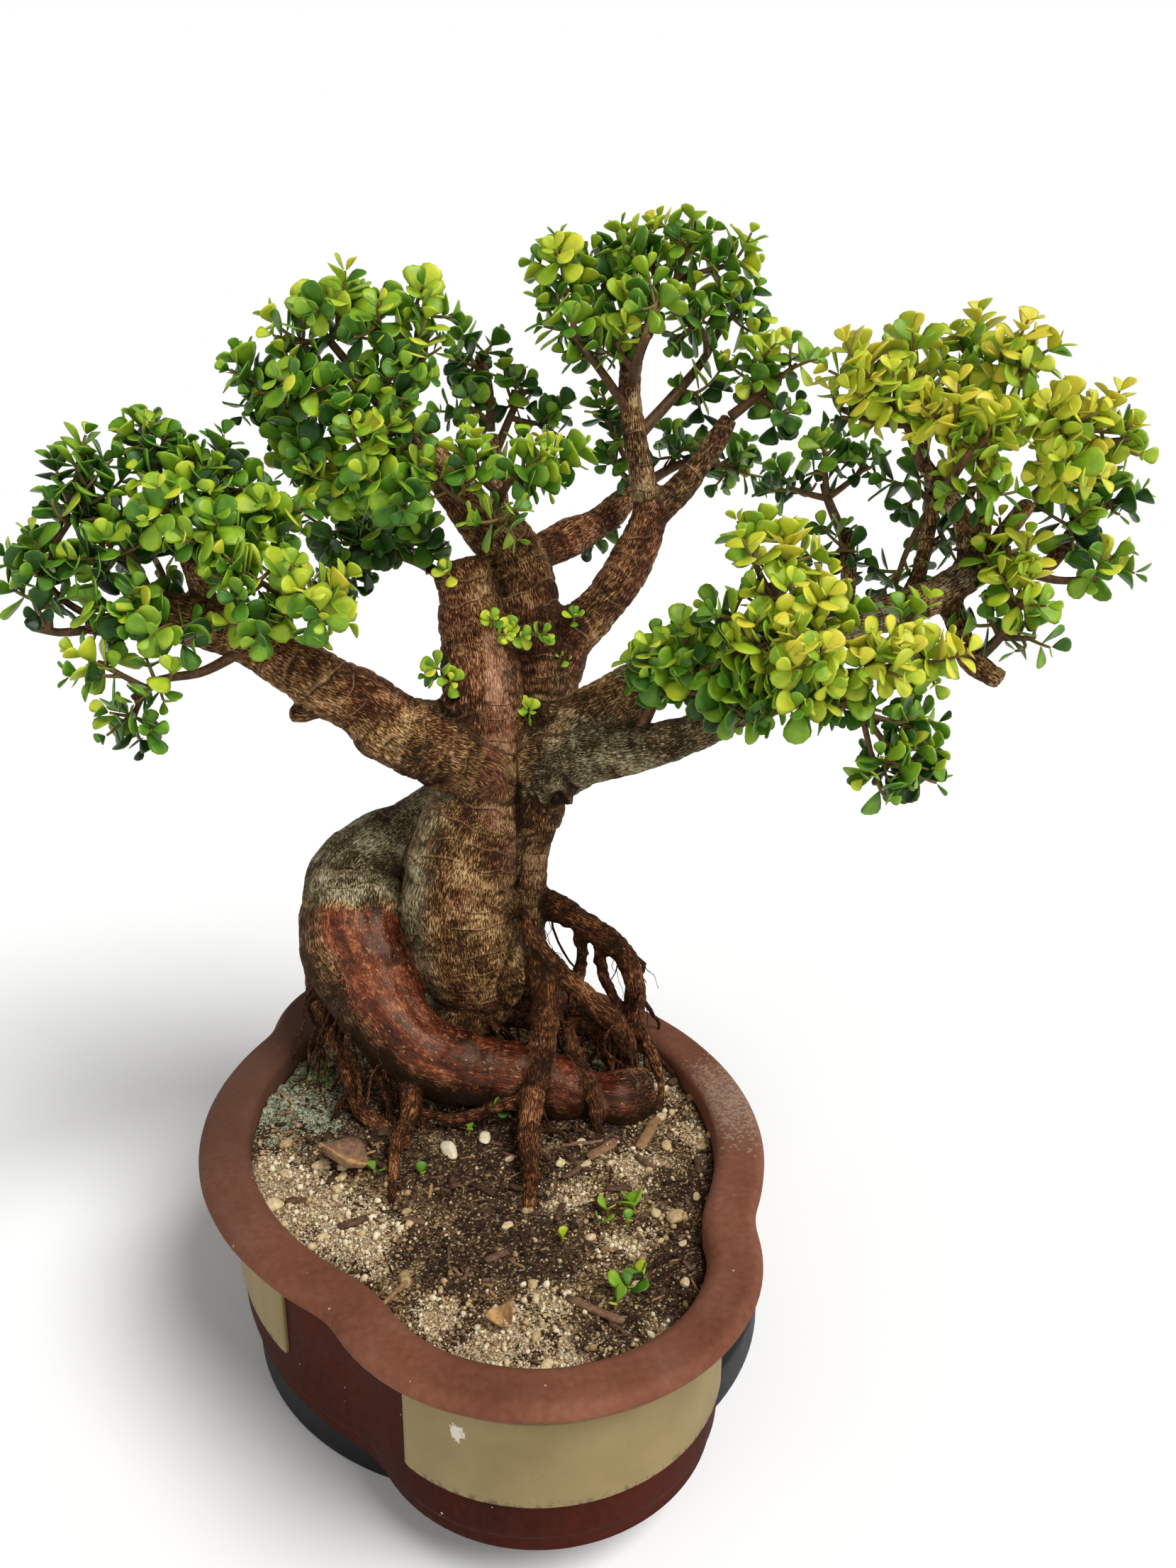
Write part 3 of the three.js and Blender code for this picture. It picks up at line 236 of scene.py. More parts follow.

# The pads of foliage that each stem carries: middle x, y, z, half width, half height, how many shoots,
# and the leaves' sun tint and painted shade, from 0, dark green painted as shade deep in the crown and
# behind it, to 1, the yellow the leaves turn in the sun.

pads = {
    "left_tip": [(-227, 94, 450, 18, 15, 4, 0.08), (-220, 94, 473, 24, 17, 6, 0.33)],
    "left_corner": [(-192, 101, 505, 25, 20, 7, 0.28), (-193, 106, 528, 18, 14, 4, 0.28)],
    "left_rise_outer": [(-187, 85, 475, 24, 20, 7, 0.28), (-186, 74, 445, 24, 18, 6, 0.38)],
    "left_rise_mid": [
        (-157, 102, 536, 23, 17, 7, 0.28), (-146, 83, 517, 24, 18, 6, 0.43),
        (-155, 73, 499, 23, 19, 7, 0.53),
    ],
    "left_rise_inner": [
        (-126, 92, 525, 20, 15, 5, 0.23), (-112, 90, 509, 21, 17, 6, 0.33),
        (-94, 76, 494, 20, 17, 6, 0.58), (-130, 65, 484, 24, 20, 8, 0.53),
    ],
    "left_front": [
        (-78, 34, 450, 23, 20, 8, 0.68), (-108, 47, 462, 23, 20, 7, 0.58),
        (-112, 44, 437, 18, 13, 4, 0.43),
    ],
    "left_behind": [
        (-168, 117, 480, 25, 21, 5, 0.23), (-136, 101, 448, 21, 17, 4, 0.23),
        (-157, 59, 434, 20, 15, 5, 0.48),
    ],
    "left_hanging": [
        (-196, 71, 417, 17, 13, 4, 0.53), (-169, 59, 407, 15, 14, 4, 0.58),
        (-183, 66, 378, 17, 14, 5, 0.38),
    ],
    "crest_tip": [(-48, 104, 611, 25, 16, 7, 0.52), (-72, 112, 592, 23, 17, 6, 0.42)],
    "crest_rise": [
        (-5, 95, 612, 21, 16, 5, 0.54), (-12, 83, 580, 20, 21, 7, 0.54),
        (-31, 87, 599, 22, 18, 6, 0.54), (-27, 84, 566, 22, 18, 6, 0.5),
    ],
    "crest_left": [
        (-99, 124, 568, 16, 21, 6, 0.27), (-68, 94, 564, 25, 20, 7, 0.52),
        (-83, 116, 544, 21, 18, 4, 0.32), (-50, 88, 560, 20, 18, 5, 0.45),
    ],
    "crest_low": [
        (-73, 106, 528, 22, 20, 6, 0.31), (-58, 90, 509, 23, 17, 7, 0.56),
        (-26, 70, 509, 23, 17, 7, 0.56), (-44, 73, 541, 18, 16, 5, 0.56),
        (-18, 78, 546, 18, 15, 4, 0.45),
    ],
    "crest_front": [
        (16, 58, 525, 17, 16, 5, 0.5), (44, 46, 522, 20, 17, 7, 0.5),
        (74, 57, 527, 16, 15, 4, 0.5), (29, 38, 492, 17, 12, 4, 0.5),
        (-2, 64, 513, 15, 14, 3, 0.5),
    ],
    "hind_rise": [(44, 167, 585, 20, 22, 5, 0.24), (35, 162, 559, 21, 17, 4, 0.27)],
    "hind_side": [(71, 160, 568, 17, 21, 5, 0.22), (93, 154, 548, 19, 16, 4, 0.25)],
    "hind_left": [
        (-30, 154, 474, 32, 21, 7, 0.14), (-45, 159, 449, 22, 18, 5, 0.09),
        (-2, 133, 473, 21, 18, 4, 0.18), (-62, 147, 482, 18, 16, 3, 0.21),
    ],
    "top_tip": [
        (168, 98, 657, 21, 18, 6, 0.54), (196, 99, 643, 18, 20, 4, 0.54),
        (143, 106, 645, 24, 21, 7, 0.54),
    ],
    "top_right": [
        (209, 85, 581, 22, 24, 6, 0.54), (235, 76, 584, 16, 16, 3, 0.47),
        (231, 80, 551, 16, 16, 3, 0.37),
    ],
    "top_mid": [
        (202, 99, 616, 22, 19, 6, 0.52), (170, 94, 610, 22, 20, 5, 0.52),
        (182, 112, 566, 21, 21, 3, 0.32),
    ],
    "top_left": [(119, 117, 641, 23, 19, 6, 0.52), (123, 95, 613, 22, 18, 5, 0.54)],
    "top_left_low": [
        (88, 107, 638, 22, 19, 6, 0.54), (87, 103, 606, 18, 17, 5, 0.54),
        (105, 109, 592, 19, 12, 3, 0.37),
    ],
    "top_front": [(136, 71, 619, 19, 17, 4, 0.54), (115, 85, 595, 17, 13, 3, 0.47)],
    "behind_top": [
        (134, 139, 523, 16, 25, 4, 0.17), (186, 147, 530, 23, 18, 4, 0.22),
        (228, 136, 516, 25, 19, 5, 0.22), (123, 150, 471, 18, 14, 3, 0.12),
        (123, 132, 555, 13, 19, 3, 0.22),
    ],
    "far_back": [
        (246, 53, 527, 21, 18, 6, 0.2), (228, 68, 509, 21, 17, 4, 0.18),
        (272, 44, 523, 12, 10, 2, 0.2), (237, 14, 473, 18, 20, 5, 0.18),
    ],
    "right_rise_left": [
        (216, -23, 580, 17, 16, 5, 0.94), (230, -36, 560, 23, 19, 7, 0.97),
        (250, -30, 585, 21, 16, 6, 0.89), (215, -12, 556, 14, 11, 2, 0.54),
    ],
    "right_rise_right": [
        (313, -76, 551, 21, 19, 7, 0.97), (345, -79, 551, 19, 18, 6, 0.97),
        (318, -86, 527, 21, 16, 7, 0.97), (362, -83, 540, 11, 14, 2, 0.97),
    ],
    "right_rise_mid": [
        (295, -17, 588, 19, 18, 6, 0.79), (304, -52, 585, 19, 17, 6, 0.89),
        (297, -41, 563, 20, 17, 5, 0.84),
    ],
    "right_far": [(366, -66, 508, 17, 16, 6, 0.37), (343, -62, 492, 21, 16, 5, 0.37)],
    "right_behind": [
        (271, -6, 514, 19, 19, 5, 0.25), (297, -7, 480, 16, 21, 4, 0.13),
        (288, -6, 563, 21, 19, 4, 0.55), (262, -13, 454, 15, 10, 3, 0.13),
    ],
    "right_front": [
        (251, -61, 550, 20, 19, 7, 0.94), (269, -80, 543, 20, 19, 7, 0.89),
        (271, -68, 513, 20, 13, 5, 0.59),
    ],
    "right_drop": [
        (300, -65, 481, 17, 19, 5, 0.77), (306, -72, 456, 20, 16, 6, 0.72),
        (317, -75, 429, 16, 17, 4, 0.52), (295, -57, 442, 15, 14, 3, 0.37),
    ],
    "right_low_side": [(358, -79, 469, 17, 16, 5, 0.62)],
    "low_tip": [
        (195, -98, 427, 21, 18, 7, 0.88), (229, -95, 423, 22, 19, 8, 0.88),
        (161, -94, 432, 20, 18, 8, 0.88), (232, -76, 447, 15, 11, 3, 0.63),
    ],
    "low_rise": [
        (146, -46, 483, 18, 16, 5, 0.82), (168, -54, 481, 16, 16, 5, 0.87),
        (154, -65, 456, 20, 15, 6, 0.77), (181, -72, 454, 18, 16, 6, 0.87),
        (132, -46, 445, 17, 16, 5, 0.47),
    ],
    "low_left": [
        (105, -18, 412, 23, 20, 8, 0.46), (126, -40, 407, 19, 20, 6, 0.41),
        (142, -67, 403, 20, 18, 6, 0.46), (144, -74, 435, 21, 17, 7, 0.71),
        (117, -30, 432, 14, 10, 2, 0.51),
    ],
    "low_hanging": [
        (155, -86, 401, 21, 16, 7, 0.5), (184, -94, 404, 17, 14, 5, 0.4),
        (220, -104, 390, 18, 12, 5, 0.3), (208, -103, 371, 15, 13, 5, 0.35),
        (228, -108, 366, 12, 14, 4, 0.35), (204, -101, 356, 12, 9, 2, 0.3),
    ],
}


# Noise and curves


def hashed(cells, seed):
    """A number from 0 to 1 for each whole-number cell, from products with large primes."""
    mixed = (cells * np.array([73856093, 19349663, 83492791])).sum(axis=-1) + seed * 2654435761
    mixed = (mixed ^ (mixed >> 13)) * 1274126177 & 0xFFFFFFFF
    return ((mixed ^ (mixed >> 16)) & 0xFFFF) / 65535


def noise(points, size, seed=0):
    """Smooth noise from -1 to 1: the hashed values at the corners of a point's cell of the given
    size, blended with the weights 3t^2 - 2t^3 of its place t in the cell."""
    place = np.asarray(points) / size
    low = np.floor(place).astype(np.int64)
    t = place - low
    t = t * t * (3 - 2 * t)
    total = np.zeros(len(place))
    for corner in itertools.product((0, 1), repeat=3):
        share = np.where(np.array(corner) == 1, t, 1 - t).prod(axis=1)
        total += share * hashed(low + np.array(corner), seed)
    return 2 * total - 1


def smoothstep(low, high, value):
    """0 below low, 1 above high, and 3t^2 - 2t^3 between them."""
    t = np.clip((value - low) / (high - low), 0, 1)
    return t * t * (3 - 2 * t)


def unit(vectors):
    """The vectors drawn out or in to length 1."""
    return vectors / np.maximum(np.linalg.norm(vectors, axis=-1, keepdims=True), 1e-9)


def swung(first, second, angle):
    """Two coordinates turned by an angle: first cos - second sin, and first sin + second cos."""
    c, s = np.cos(angle), np.sin(angle)
    return first * c - second * s, first * s + second * c


def smooth_path(points, step):
    """Rows of x, y, z, radius at even steps along a smooth curve through the points. Between two
    points it is a cubic Hermite curve over the square root of their distance."""
    points = np.asarray(points, float)
    chords = np.linalg.norm(np.diff(points[:, :3], axis=0), axis=1)
    knots = np.concatenate([[0], np.cumsum(np.sqrt(chords))])
    slopes = np.gradient(points, knots, axis=0)
    fine = np.linspace(0, knots[-1], 30 * len(points))
    i = np.clip(np.searchsorted(knots, fine, side="right") - 1, 0, len(points) - 2)
    width = (knots[i + 1] - knots[i])[:, None]
    t = (fine - knots[i])[:, None] / width
    curve = (
        (2 * t**3 - 3 * t**2 + 1) * points[i]
        + (t**3 - 2 * t**2 + t) * width * slopes[i]
        + (3 * t**2 - 2 * t**3) * points[i + 1]
        + (t**3 - t**2) * width * slopes[i + 1]
    )
    lengths = np.linalg.norm(np.diff(curve[:, :3], axis=0), axis=1)
    travelled = np.concatenate([[0], np.cumsum(lengths)])
    even = np.linspace(0, travelled[-1], max(3, round(travelled[-1] / step) + 1))
    return np.stack([np.interp(even, travelled, curve[:, k]) for k in range(4)], axis=1)


def carried_frames(centres):
    """Tangent, side and up at each point of a path. The side direction is carried along: at each
    point the last one loses its part along the new tangent."""
    tangents = unit(np.gradient(centres, axis=0))
    side = np.array([0.31, 0.83, 0.46])
    sides = []
    for tangent in tangents:
        side = unit(side - tangent * (side @ tangent))
        sides.append(side)
    sides = np.array(sides)
    return tangents, sides, np.cross(tangents, sides)


# Meshes


def skin(rings, first_pole=None, last_pole=None):
    """A closed skin over n rings of m points each that run the same way round: a square for each
    point and its neighbours on the next ring, and a fan to a pole at either end, which is the
    middle of the end ring if none is given. Returns points and groups of faces."""
    n, m = rings.shape[:2]
    first_pole = rings[0].mean(axis=0) if first_pole is None else first_pole
    last_pole = rings[-1].mean(axis=0) if last_pole is None else last_pole
    points = np.concatenate([rings.reshape(-1, 3), [first_pole, last_pole]])
    here = np.arange(m)
    after = (here + 1) % m
    low = (np.arange(n - 1) * m)[:, None]
    squares = np.stack([low + here, low + after, low + m + after, low + m + here], axis=-1)
    top = (n - 1) * m
    first_fan = np.stack([np.full(m, n * m), after, here], axis=1)
    last_fan = np.stack([np.full(m, n * m + 1), top + here, top + after], axis=1)
    return points, [squares.reshape(-1, 4), np.concatenate([first_fan, last_fan])]


def tube(path, sides):
    """Rings around a path of x, y, z, radius: point + radius (side cos a + up sin a)."""
    centres, radii = path[:, :3], path[:, 3]
    _, side, up = carried_frames(centres)
    angles = np.linspace(0, 2 * np.pi, sides, endpoint=False)[None, :, None]
    spokes = side[:, None] * np.cos(angles) + up[:, None] * np.sin(angles)
    return skin(centres[:, None] + radii[:, None, None] * spokes)


def joined(parts):
    """Many pairs of points and face groups as one pair."""
    offsets = np.cumsum([0] + [len(points) for points, _ in parts[:-1]])
    points = np.concatenate([points for points, _ in parts])
    faces = [group + offset for (_, groups), offset in zip(parts, offsets) for group in groups]
    return points, faces


def mesh_of(name, points, faces):
    """A mesh from points in millimetres and groups of faces with the same number of corners."""
    sizes = np.concatenate([np.full(len(group), group.shape[1]) for group in faces])
    corners = np.concatenate([group.ravel() for group in faces])
    mesh = bpy.data.meshes.new(name)
    mesh.vertices.add(len(points))
    mesh.vertices.foreach_set("co", (points * MM).astype(np.float32).ravel())
    mesh.loops.add(len(corners))
    mesh.loops.foreach_set("vertex_index", corners.astype(np.int32))
    mesh.polygons.add(len(sizes))
    starts = np.concatenate([[0], np.cumsum(sizes)[:-1]]).astype(np.int32)
    mesh.polygons.foreach_set("loop_start", starts)
    mesh.update(calc_edges=True)
    mesh.validate()
    return mesh


def piece(name, points, faces, material, slot, attributes=None, smooth=True):
    """An object of the bonsai that rides on its one body. Attributes are a number or a vector for
    each point, which the material reads by name."""
    mesh = mesh_of(name, points, faces)
    if smooth:
        mesh.shade_smooth()
    for key, values in (attributes or {}).items():
        values = np.asarray(values, np.float32)
        kind, field = ("FLOAT_VECTOR", "vector") if values.ndim == 2 else ("FLOAT", "value")
        mesh.attributes.new(key, kind, "POINT").data.foreach_set(field, values.ravel())
    mesh.materials.append(material)
    made = bpy.data.objects.new(name, mesh)
    bpy.context.scene.collection.objects.link(made)
    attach(made, "root")
    return made


def strewn(name, made, material, attribute, smooth=True):
    """A piece of loose things on the soil, from their points, faces and tones."""
    points, faces, tones = made
    piece(name, points, faces, material, "soil", {attribute: tones}, smooth)


# Material helpers


def linear(hex_colour):
    """An sRGB hex colour as linear RGBA: c / 12.92 up to 0.04045, ((c + 0.055) / 1.055)^2.4 above."""
    channels = [int(hex_colour[i : i + 2], 16) / 255 for i in (1, 3, 5)]
    powers = [c / 12.92 if c <= 0.04045 else ((c + 0.055) / 1.055) ** 2.4 for c in channels]
    return (*powers, 1.0)


def add_node(tree, kind, inputs=None, output=0, stops=None, **settings):
    """Adds a node and returns one of its outputs. Inputs gives a socket a value, a hex colour or
    another node's output, and stops are the places and hex colours of a ramp."""
    node = tree.nodes.new(kind)
    for key, value in settings.items():
        setattr(node, key, value)
    for socket, value in (inputs or {}).items():
        if isinstance(value, bpy.types.NodeSocket):
            tree.links.new(value, node.inputs[socket])
        else:
            node.inputs[socket].default_value = linear(value) if isinstance(value, str) else value
    for i, (place, colour) in enumerate(stops or []):
        elements = node.color_ramp.elements
        stop = elements[i] if i < 2 else elements.new(place)
        stop.position = place
        stop.color = linear(colour)
    return node.outputs[output] if node.outputs else None


def material_from(name, build):
    """A material whose surface is the shader that build makes with add, which adds to its tree."""
    material = bpy.data.materials.new(name)
    material.use_nodes = True
    material.node_tree.nodes.clear()
    add = functools.partial(add_node, material.node_tree)
    add("ShaderNodeOutputMaterial", {"Surface": build(add)})
    return material


def per(millimetres):
    """The scale that gives a texture on Object coordinates, which are metres, that grain."""
    return 1 / (millimetres * MM)


MIX = "ShaderNodeMix"
RAMP = "ShaderNodeValToRGB"
NOISE = "ShaderNodeTexNoise"
MATH = "ShaderNodeMath"
RANGE = "ShaderNodeMapRange"
BUMP = "ShaderNodeBump"
VORONOI = "ShaderNodeTexVoronoi"
MAPPING = "ShaderNodeMapping"
VECTOR_MATH = "ShaderNodeVectorMath"
CHANNELS = "ShaderNodeSeparateColor"
HEIGHT_OF = {"kind": "ShaderNodeSeparateXYZ", "output": 2}
ATTRIBUTE = {"kind": "ShaderNodeAttribute", "output": "Fac"}
OBJECT_PLACE = {"kind": "ShaderNodeTexCoord", "output": "Object"}
PRINCIPLED = "ShaderNodeBsdfPrincipled"
COLOUR = {"data_type": "RGBA", "output": 2}
TIMES = {"operation": "MULTIPLY"}
TIMES_PLUS = {"operation": "MULTIPLY_ADD"}

# Materials


def stoneware(add):
    """Unglazed stoneware, slip-cast and fired: chestnut clay in faint cloudy shades, a scatter of white
    mineral specks, a little dust on what faces up, sand blown on the rim at one place, painted shadow of
    the tree, darker and greyer towards the back left, and the wall below the lip painted darker and
    redder as its shade."""
    place = add(**OBJECT_PLACE)
    clouds = add(NOISE, {"Vector": place, "Scale": per(60), "Detail": 5.0})
    mottle = add(NOISE, {"Vector": place, "Scale": per(4), "Detail": 5.0})
    tone = add(MATH, {0: mottle, 1: 0.5, 2: clouds}, **TIMES_PLUS)
    clay = add(RAMP, {0: tone}, stops=[(0.5, "#663e2d"), (0.75, "#784b38"), (0.95, "#865844")])
    height = add(inputs={0: place}, **HEIGHT_OF)
    # Painted shade: the wall below the lip is painted darker and redder than the rim.
    lip_bottom = (pot_base + pot_height - lip_height) * MM
    under_lip_shade = add(RANGE, {0: height, 1: lip_bottom, 2: lip_bottom - 5 * MM})
    wall = add(RAMP, {0: tone}, stops=[(0.5, "#2a0f08"), (0.95, "#451d12")])
    facing = add(inputs={0: add("ShaderNodeNewGeometry", output="Normal")}, **HEIGHT_OF)
    smears = add(NOISE, {"Vector": place, "Scale": per(30), "Detail": 7.0, "Roughness": 0.65})
    film = add(RANGE, {0: smears, 1: 0.5, 2: 0.72, 3: 0.0, 4: 0.2})
    upward = add(RANGE, {0: facing, 1: 0.4, 2: 1.0})
    dust = add(MATH, {0: film, 1: upward}, **TIMES)
    grains = {"Vector": place, "Scale": per(7)}
    speck_reach = add(VORONOI, grains, "Distance")
    chosen = add(CHANNELS, {0: add(VORONOI, grains, "Color")})
    size = add(RANGE, {0: chosen, 1: 0.72, 2: 1.0, 3: 0.0, 4: 0.12})
    inside = add(MATH, {0: size, 1: speck_reach}, operation="GREATER_THAN")
    specks = add(MATH, {0: inside, 1: 0.65}, **TIMES)
    away = add(VECTOR_MATH, {0: place, 1: sandy_rim * MM}, "Value", operation="DISTANCE")
    near = add(RANGE, {0: away, 1: 62 * MM, 2: 12 * MM, 3: 0.0, 4: 0.6})
    sandy = add(MATH, {0: near, 1: upward}, **TIMES)
    cells = add(VORONOI, {"Vector": place, "Scale": per(1.6)}, "Color")
    blown = add(MATH, {0: add(CHANNELS, {0: cells}), 1: near}, operation="LESS_THAN")
    blown = add(MATH, {0: blown, 1: upward}, **TIMES)
    sand = add(MATH, {0: blown, 1: 0.35}, **TIMES)
    # Painted shadow of the tree: the clay is darker and greyer towards the back left.
    behind = add(VECTOR_MATH, {0: place, 1: (-0.8, 0.6, 0)}, "Value", operation="DOT_PRODUCT")
    tree_shade = add(RANGE, {0: behind, 1: 40 * MM, 2: 150 * MM, 3: 0.0, 4: 0.6})
    layers = [
        (under_lip_shade, wall), (dust, "#7d685c"), (specks, "#c9b3a4"), (sandy, "#84685a"), (sand, "#b3a084"),
        (tree_shade, "#41332a"),
    ]
    for share, colour in layers:
        clay = add(MIX, {0: share, 6: clay, 7: colour}, **COLOUR)
    rough = add(RANGE, {0: smears, 1: 0.3, 2: 0.7, 3: 0.55, 4: 0.8})
    grain = add(NOISE, {"Vector": place, "Scale": per(0.9), "Detail": 3.0})
    relief = add(BUMP, {"Height": grain, "Distance": 0.12 * MM, "Strength": 0.6})
    values = {"Base Color": clay, "Roughness": rough, "Normal": relief, "Specular IOR Level": 0.05}
    return add(PRINCIPLED, values)


def cream_slip(add):
    """A pale clay pressed on the wall and left unglazed: cream-ochre with dark fire specks, worn
    darker along its lower edge, and a small white chip near its upper left."""
    place = add(**OBJECT_PLACE)
    clouds = add(NOISE, {"Vector": place, "Scale": per(30), "Detail": 6.0})
    clay = add(RAMP, {0: clouds}, stops=[(0.3, "#7a693f"), (0.7, "#8a784d")])
    grit = add(NOISE, {"Vector": place, "Scale": per(1.4), "Detail": 2.0})
    specks = add(RANGE, {0: grit, 1: 0.66, 2: 0.74, 3: 0.0, 4: 0.55})
    height = add(inputs={0: place}, **HEIGHT_OF)
    low_edge = (pot_base + band_low) * MM
    scuffs = add(NOISE, {"Vector": place, "Scale": per(3.5), "Detail": 4.0})
    reach = add(RANGE, {0: height, 1: low_edge + 5 * MM, 2: low_edge, 3: 0.0, 4: 0.9})
    worn = add(MATH, {0: add(RANGE, {0: scuffs, 1: 0.5, 2: 0.6}), 1: reach}, **TIMES)
    away = add(VECTOR_MATH, {0: place, 1: chip_place * MM}, "Value", operation="DISTANCE")
    ragged = add(MATH, {0: scuffs, 1: 12 * MM, 2: away}, **TIMES_PLUS)
    chip = add(RANGE, {0: ragged, 1: 13 * MM, 2: 12 * MM, 3: 0.0, 4: 0.8})
    for share, colour in ((specks, "#6a5636"), (worn, "#3c2a1c"), (chip, "#d9d5c4")):
        clay = add(MIX, {0: share, 6: clay, 7: colour}, **COLOUR)
    grain = add(NOISE, {"Vector": place, "Scale": per(0.8), "Detail": 3.0})
    relief = add(BUMP, {"Height": grain, "Distance": 0.15 * MM, "Strength": 0.8})
    return add(PRINCIPLED, {"Base Color": clay, "Roughness": 0.72, "Normal": relief})


def black_plastic(add):
    """Moulded polypropylene, near-black and satin, with grey dust lying in clouds."""
    place = add(**OBJECT_PLACE)
    clouds = add(NOISE, {"Vector": place, "Scale": per(25), "Detail": 6.0})
    shade = add(RAMP, {0: clouds}, stops=[(0.35, "#0a0b0c"), (0.8, "#1b1d1f")])
    rough = add(RANGE, {0: clouds, 1: 0.3, 2: 0.7, 3: 0.42, 4: 0.62})
    values = {"Base Color": shade, "Roughness": rough, "IOR": 1.49, "Specular IOR Level": 0.2}
    return add(PRINCIPLED, values)


def bark_tone(add, place):
    """Flecks 0.6 mm wide and 4 mm long that run with the limb, and one number near a half for each
    spot: the flecks plus 0.42 of patches 9 mm around it and 5 mm along and 0.45 of clouds of
    28 mm, over the sum 1.87."""
    run = add(MAPPING, {"Vector": place, "Scale": (1.6, 1.6, 0.27)})
    flecks = add(NOISE, {"Vector": run, "Scale": 1.0, "Detail": 4.0, "Roughness": 0.6})
    across = add(MAPPING, {"Vector": place, "Scale": (0.11, 0.11, 0.2)})
    patches = add(NOISE, {"Vector": across, "Scale": 1.0, "Detail": 4.0, "Roughness": 0.65})
    clouds = add(NOISE, {"Vector": place, "Scale": 0.036, "Detail": 2.0})
    coarse = add(MATH, {0: patches, 1: 0.42, 2: flecks}, **TIMES_PLUS)
    total = add(MATH, {0: clouds, 1: 0.45, 2: coarse}, **TIMES_PLUS)
    return flecks, add(MATH, {0: total, 1: 1.87}, operation="DIVIDE")


def leaf_rings(add, place):
    """Old leaf rings, a gap apart along the limb and bent by noise: a dark line, partly the scar's own
    colour and partly painted shadow under the lip, and a pale lip above it, clear along some arcs and
    gone in others."""
    bend = add(MAPPING, {"Vector": place, "Scale": (0.02, 0.02, 0.03)})
    bend = add(NOISE, {"Vector": bend, "Scale": 1.0, "Detail": 2.0})
    bend = add(MATH, {0: bend, 1: 2.4}, **TIMES)
    along = add(inputs={0: place}, **HEIGHT_OF)
    turns = add(MATH, {0: along, 1: 1 / leaf_ring_gap, 2: bend}, **TIMES_PLUS)
    share = add(MATH, {0: turns}, operation="FRACT")
    strength = add(NOISE, {"Vector": place, "Scale": 0.045, "Detail": 3.0})
    strength = add(RANGE, {0: strength, 1: 0.4, 2: 0.58, 3: 0.0, 4: 1.0})
    line = add(RAMP, {0: share}, stops=[(0.0, "#000000"), (0.03, "#ffffff"), (0.08, "#000000")])
    lip = add(RAMP, {0: share}, stops=[(0.06, "#000000"), (0.1, "#ffffff"), (0.2, "#000000")])
    line = add(MATH, {0: line, 1: strength}, **TIMES)
    return line, add(MATH, {0: lip, 1: strength}, **TIMES)


leaf_ring_gap = 14

# The bark's kinds, each from its dark gaps to its pale flecks.

bark_steps = (0.432, 0.472, 0.512, 0.554, 0.6)
bark_tan = ("#150a04", "#37200e", "#6d4a28", "#a98251", "#dcbd8b")
bark_shades = {
    "bark_lichen": ("#18130a", "#3b331f", "#6c6245", "#9d9573", "#cdc6a5"),
    "bark_ruddy": ("#120603", "#32160a", "#5f331b", "#95623f", "#c89f7a"),
    "bark_root": ("#0b0402", "#26110a", "#4e2815", "#814e2c", "#b98658"),
    "bark_gloss": ("#1a0704", "#34130a", "#511f10", "#70331a", "#9c5d3b"),
    "bark_bare": ("#482616", "#6e412a", "#8f5f43", "#ad7e5e", "#cca383"),
}


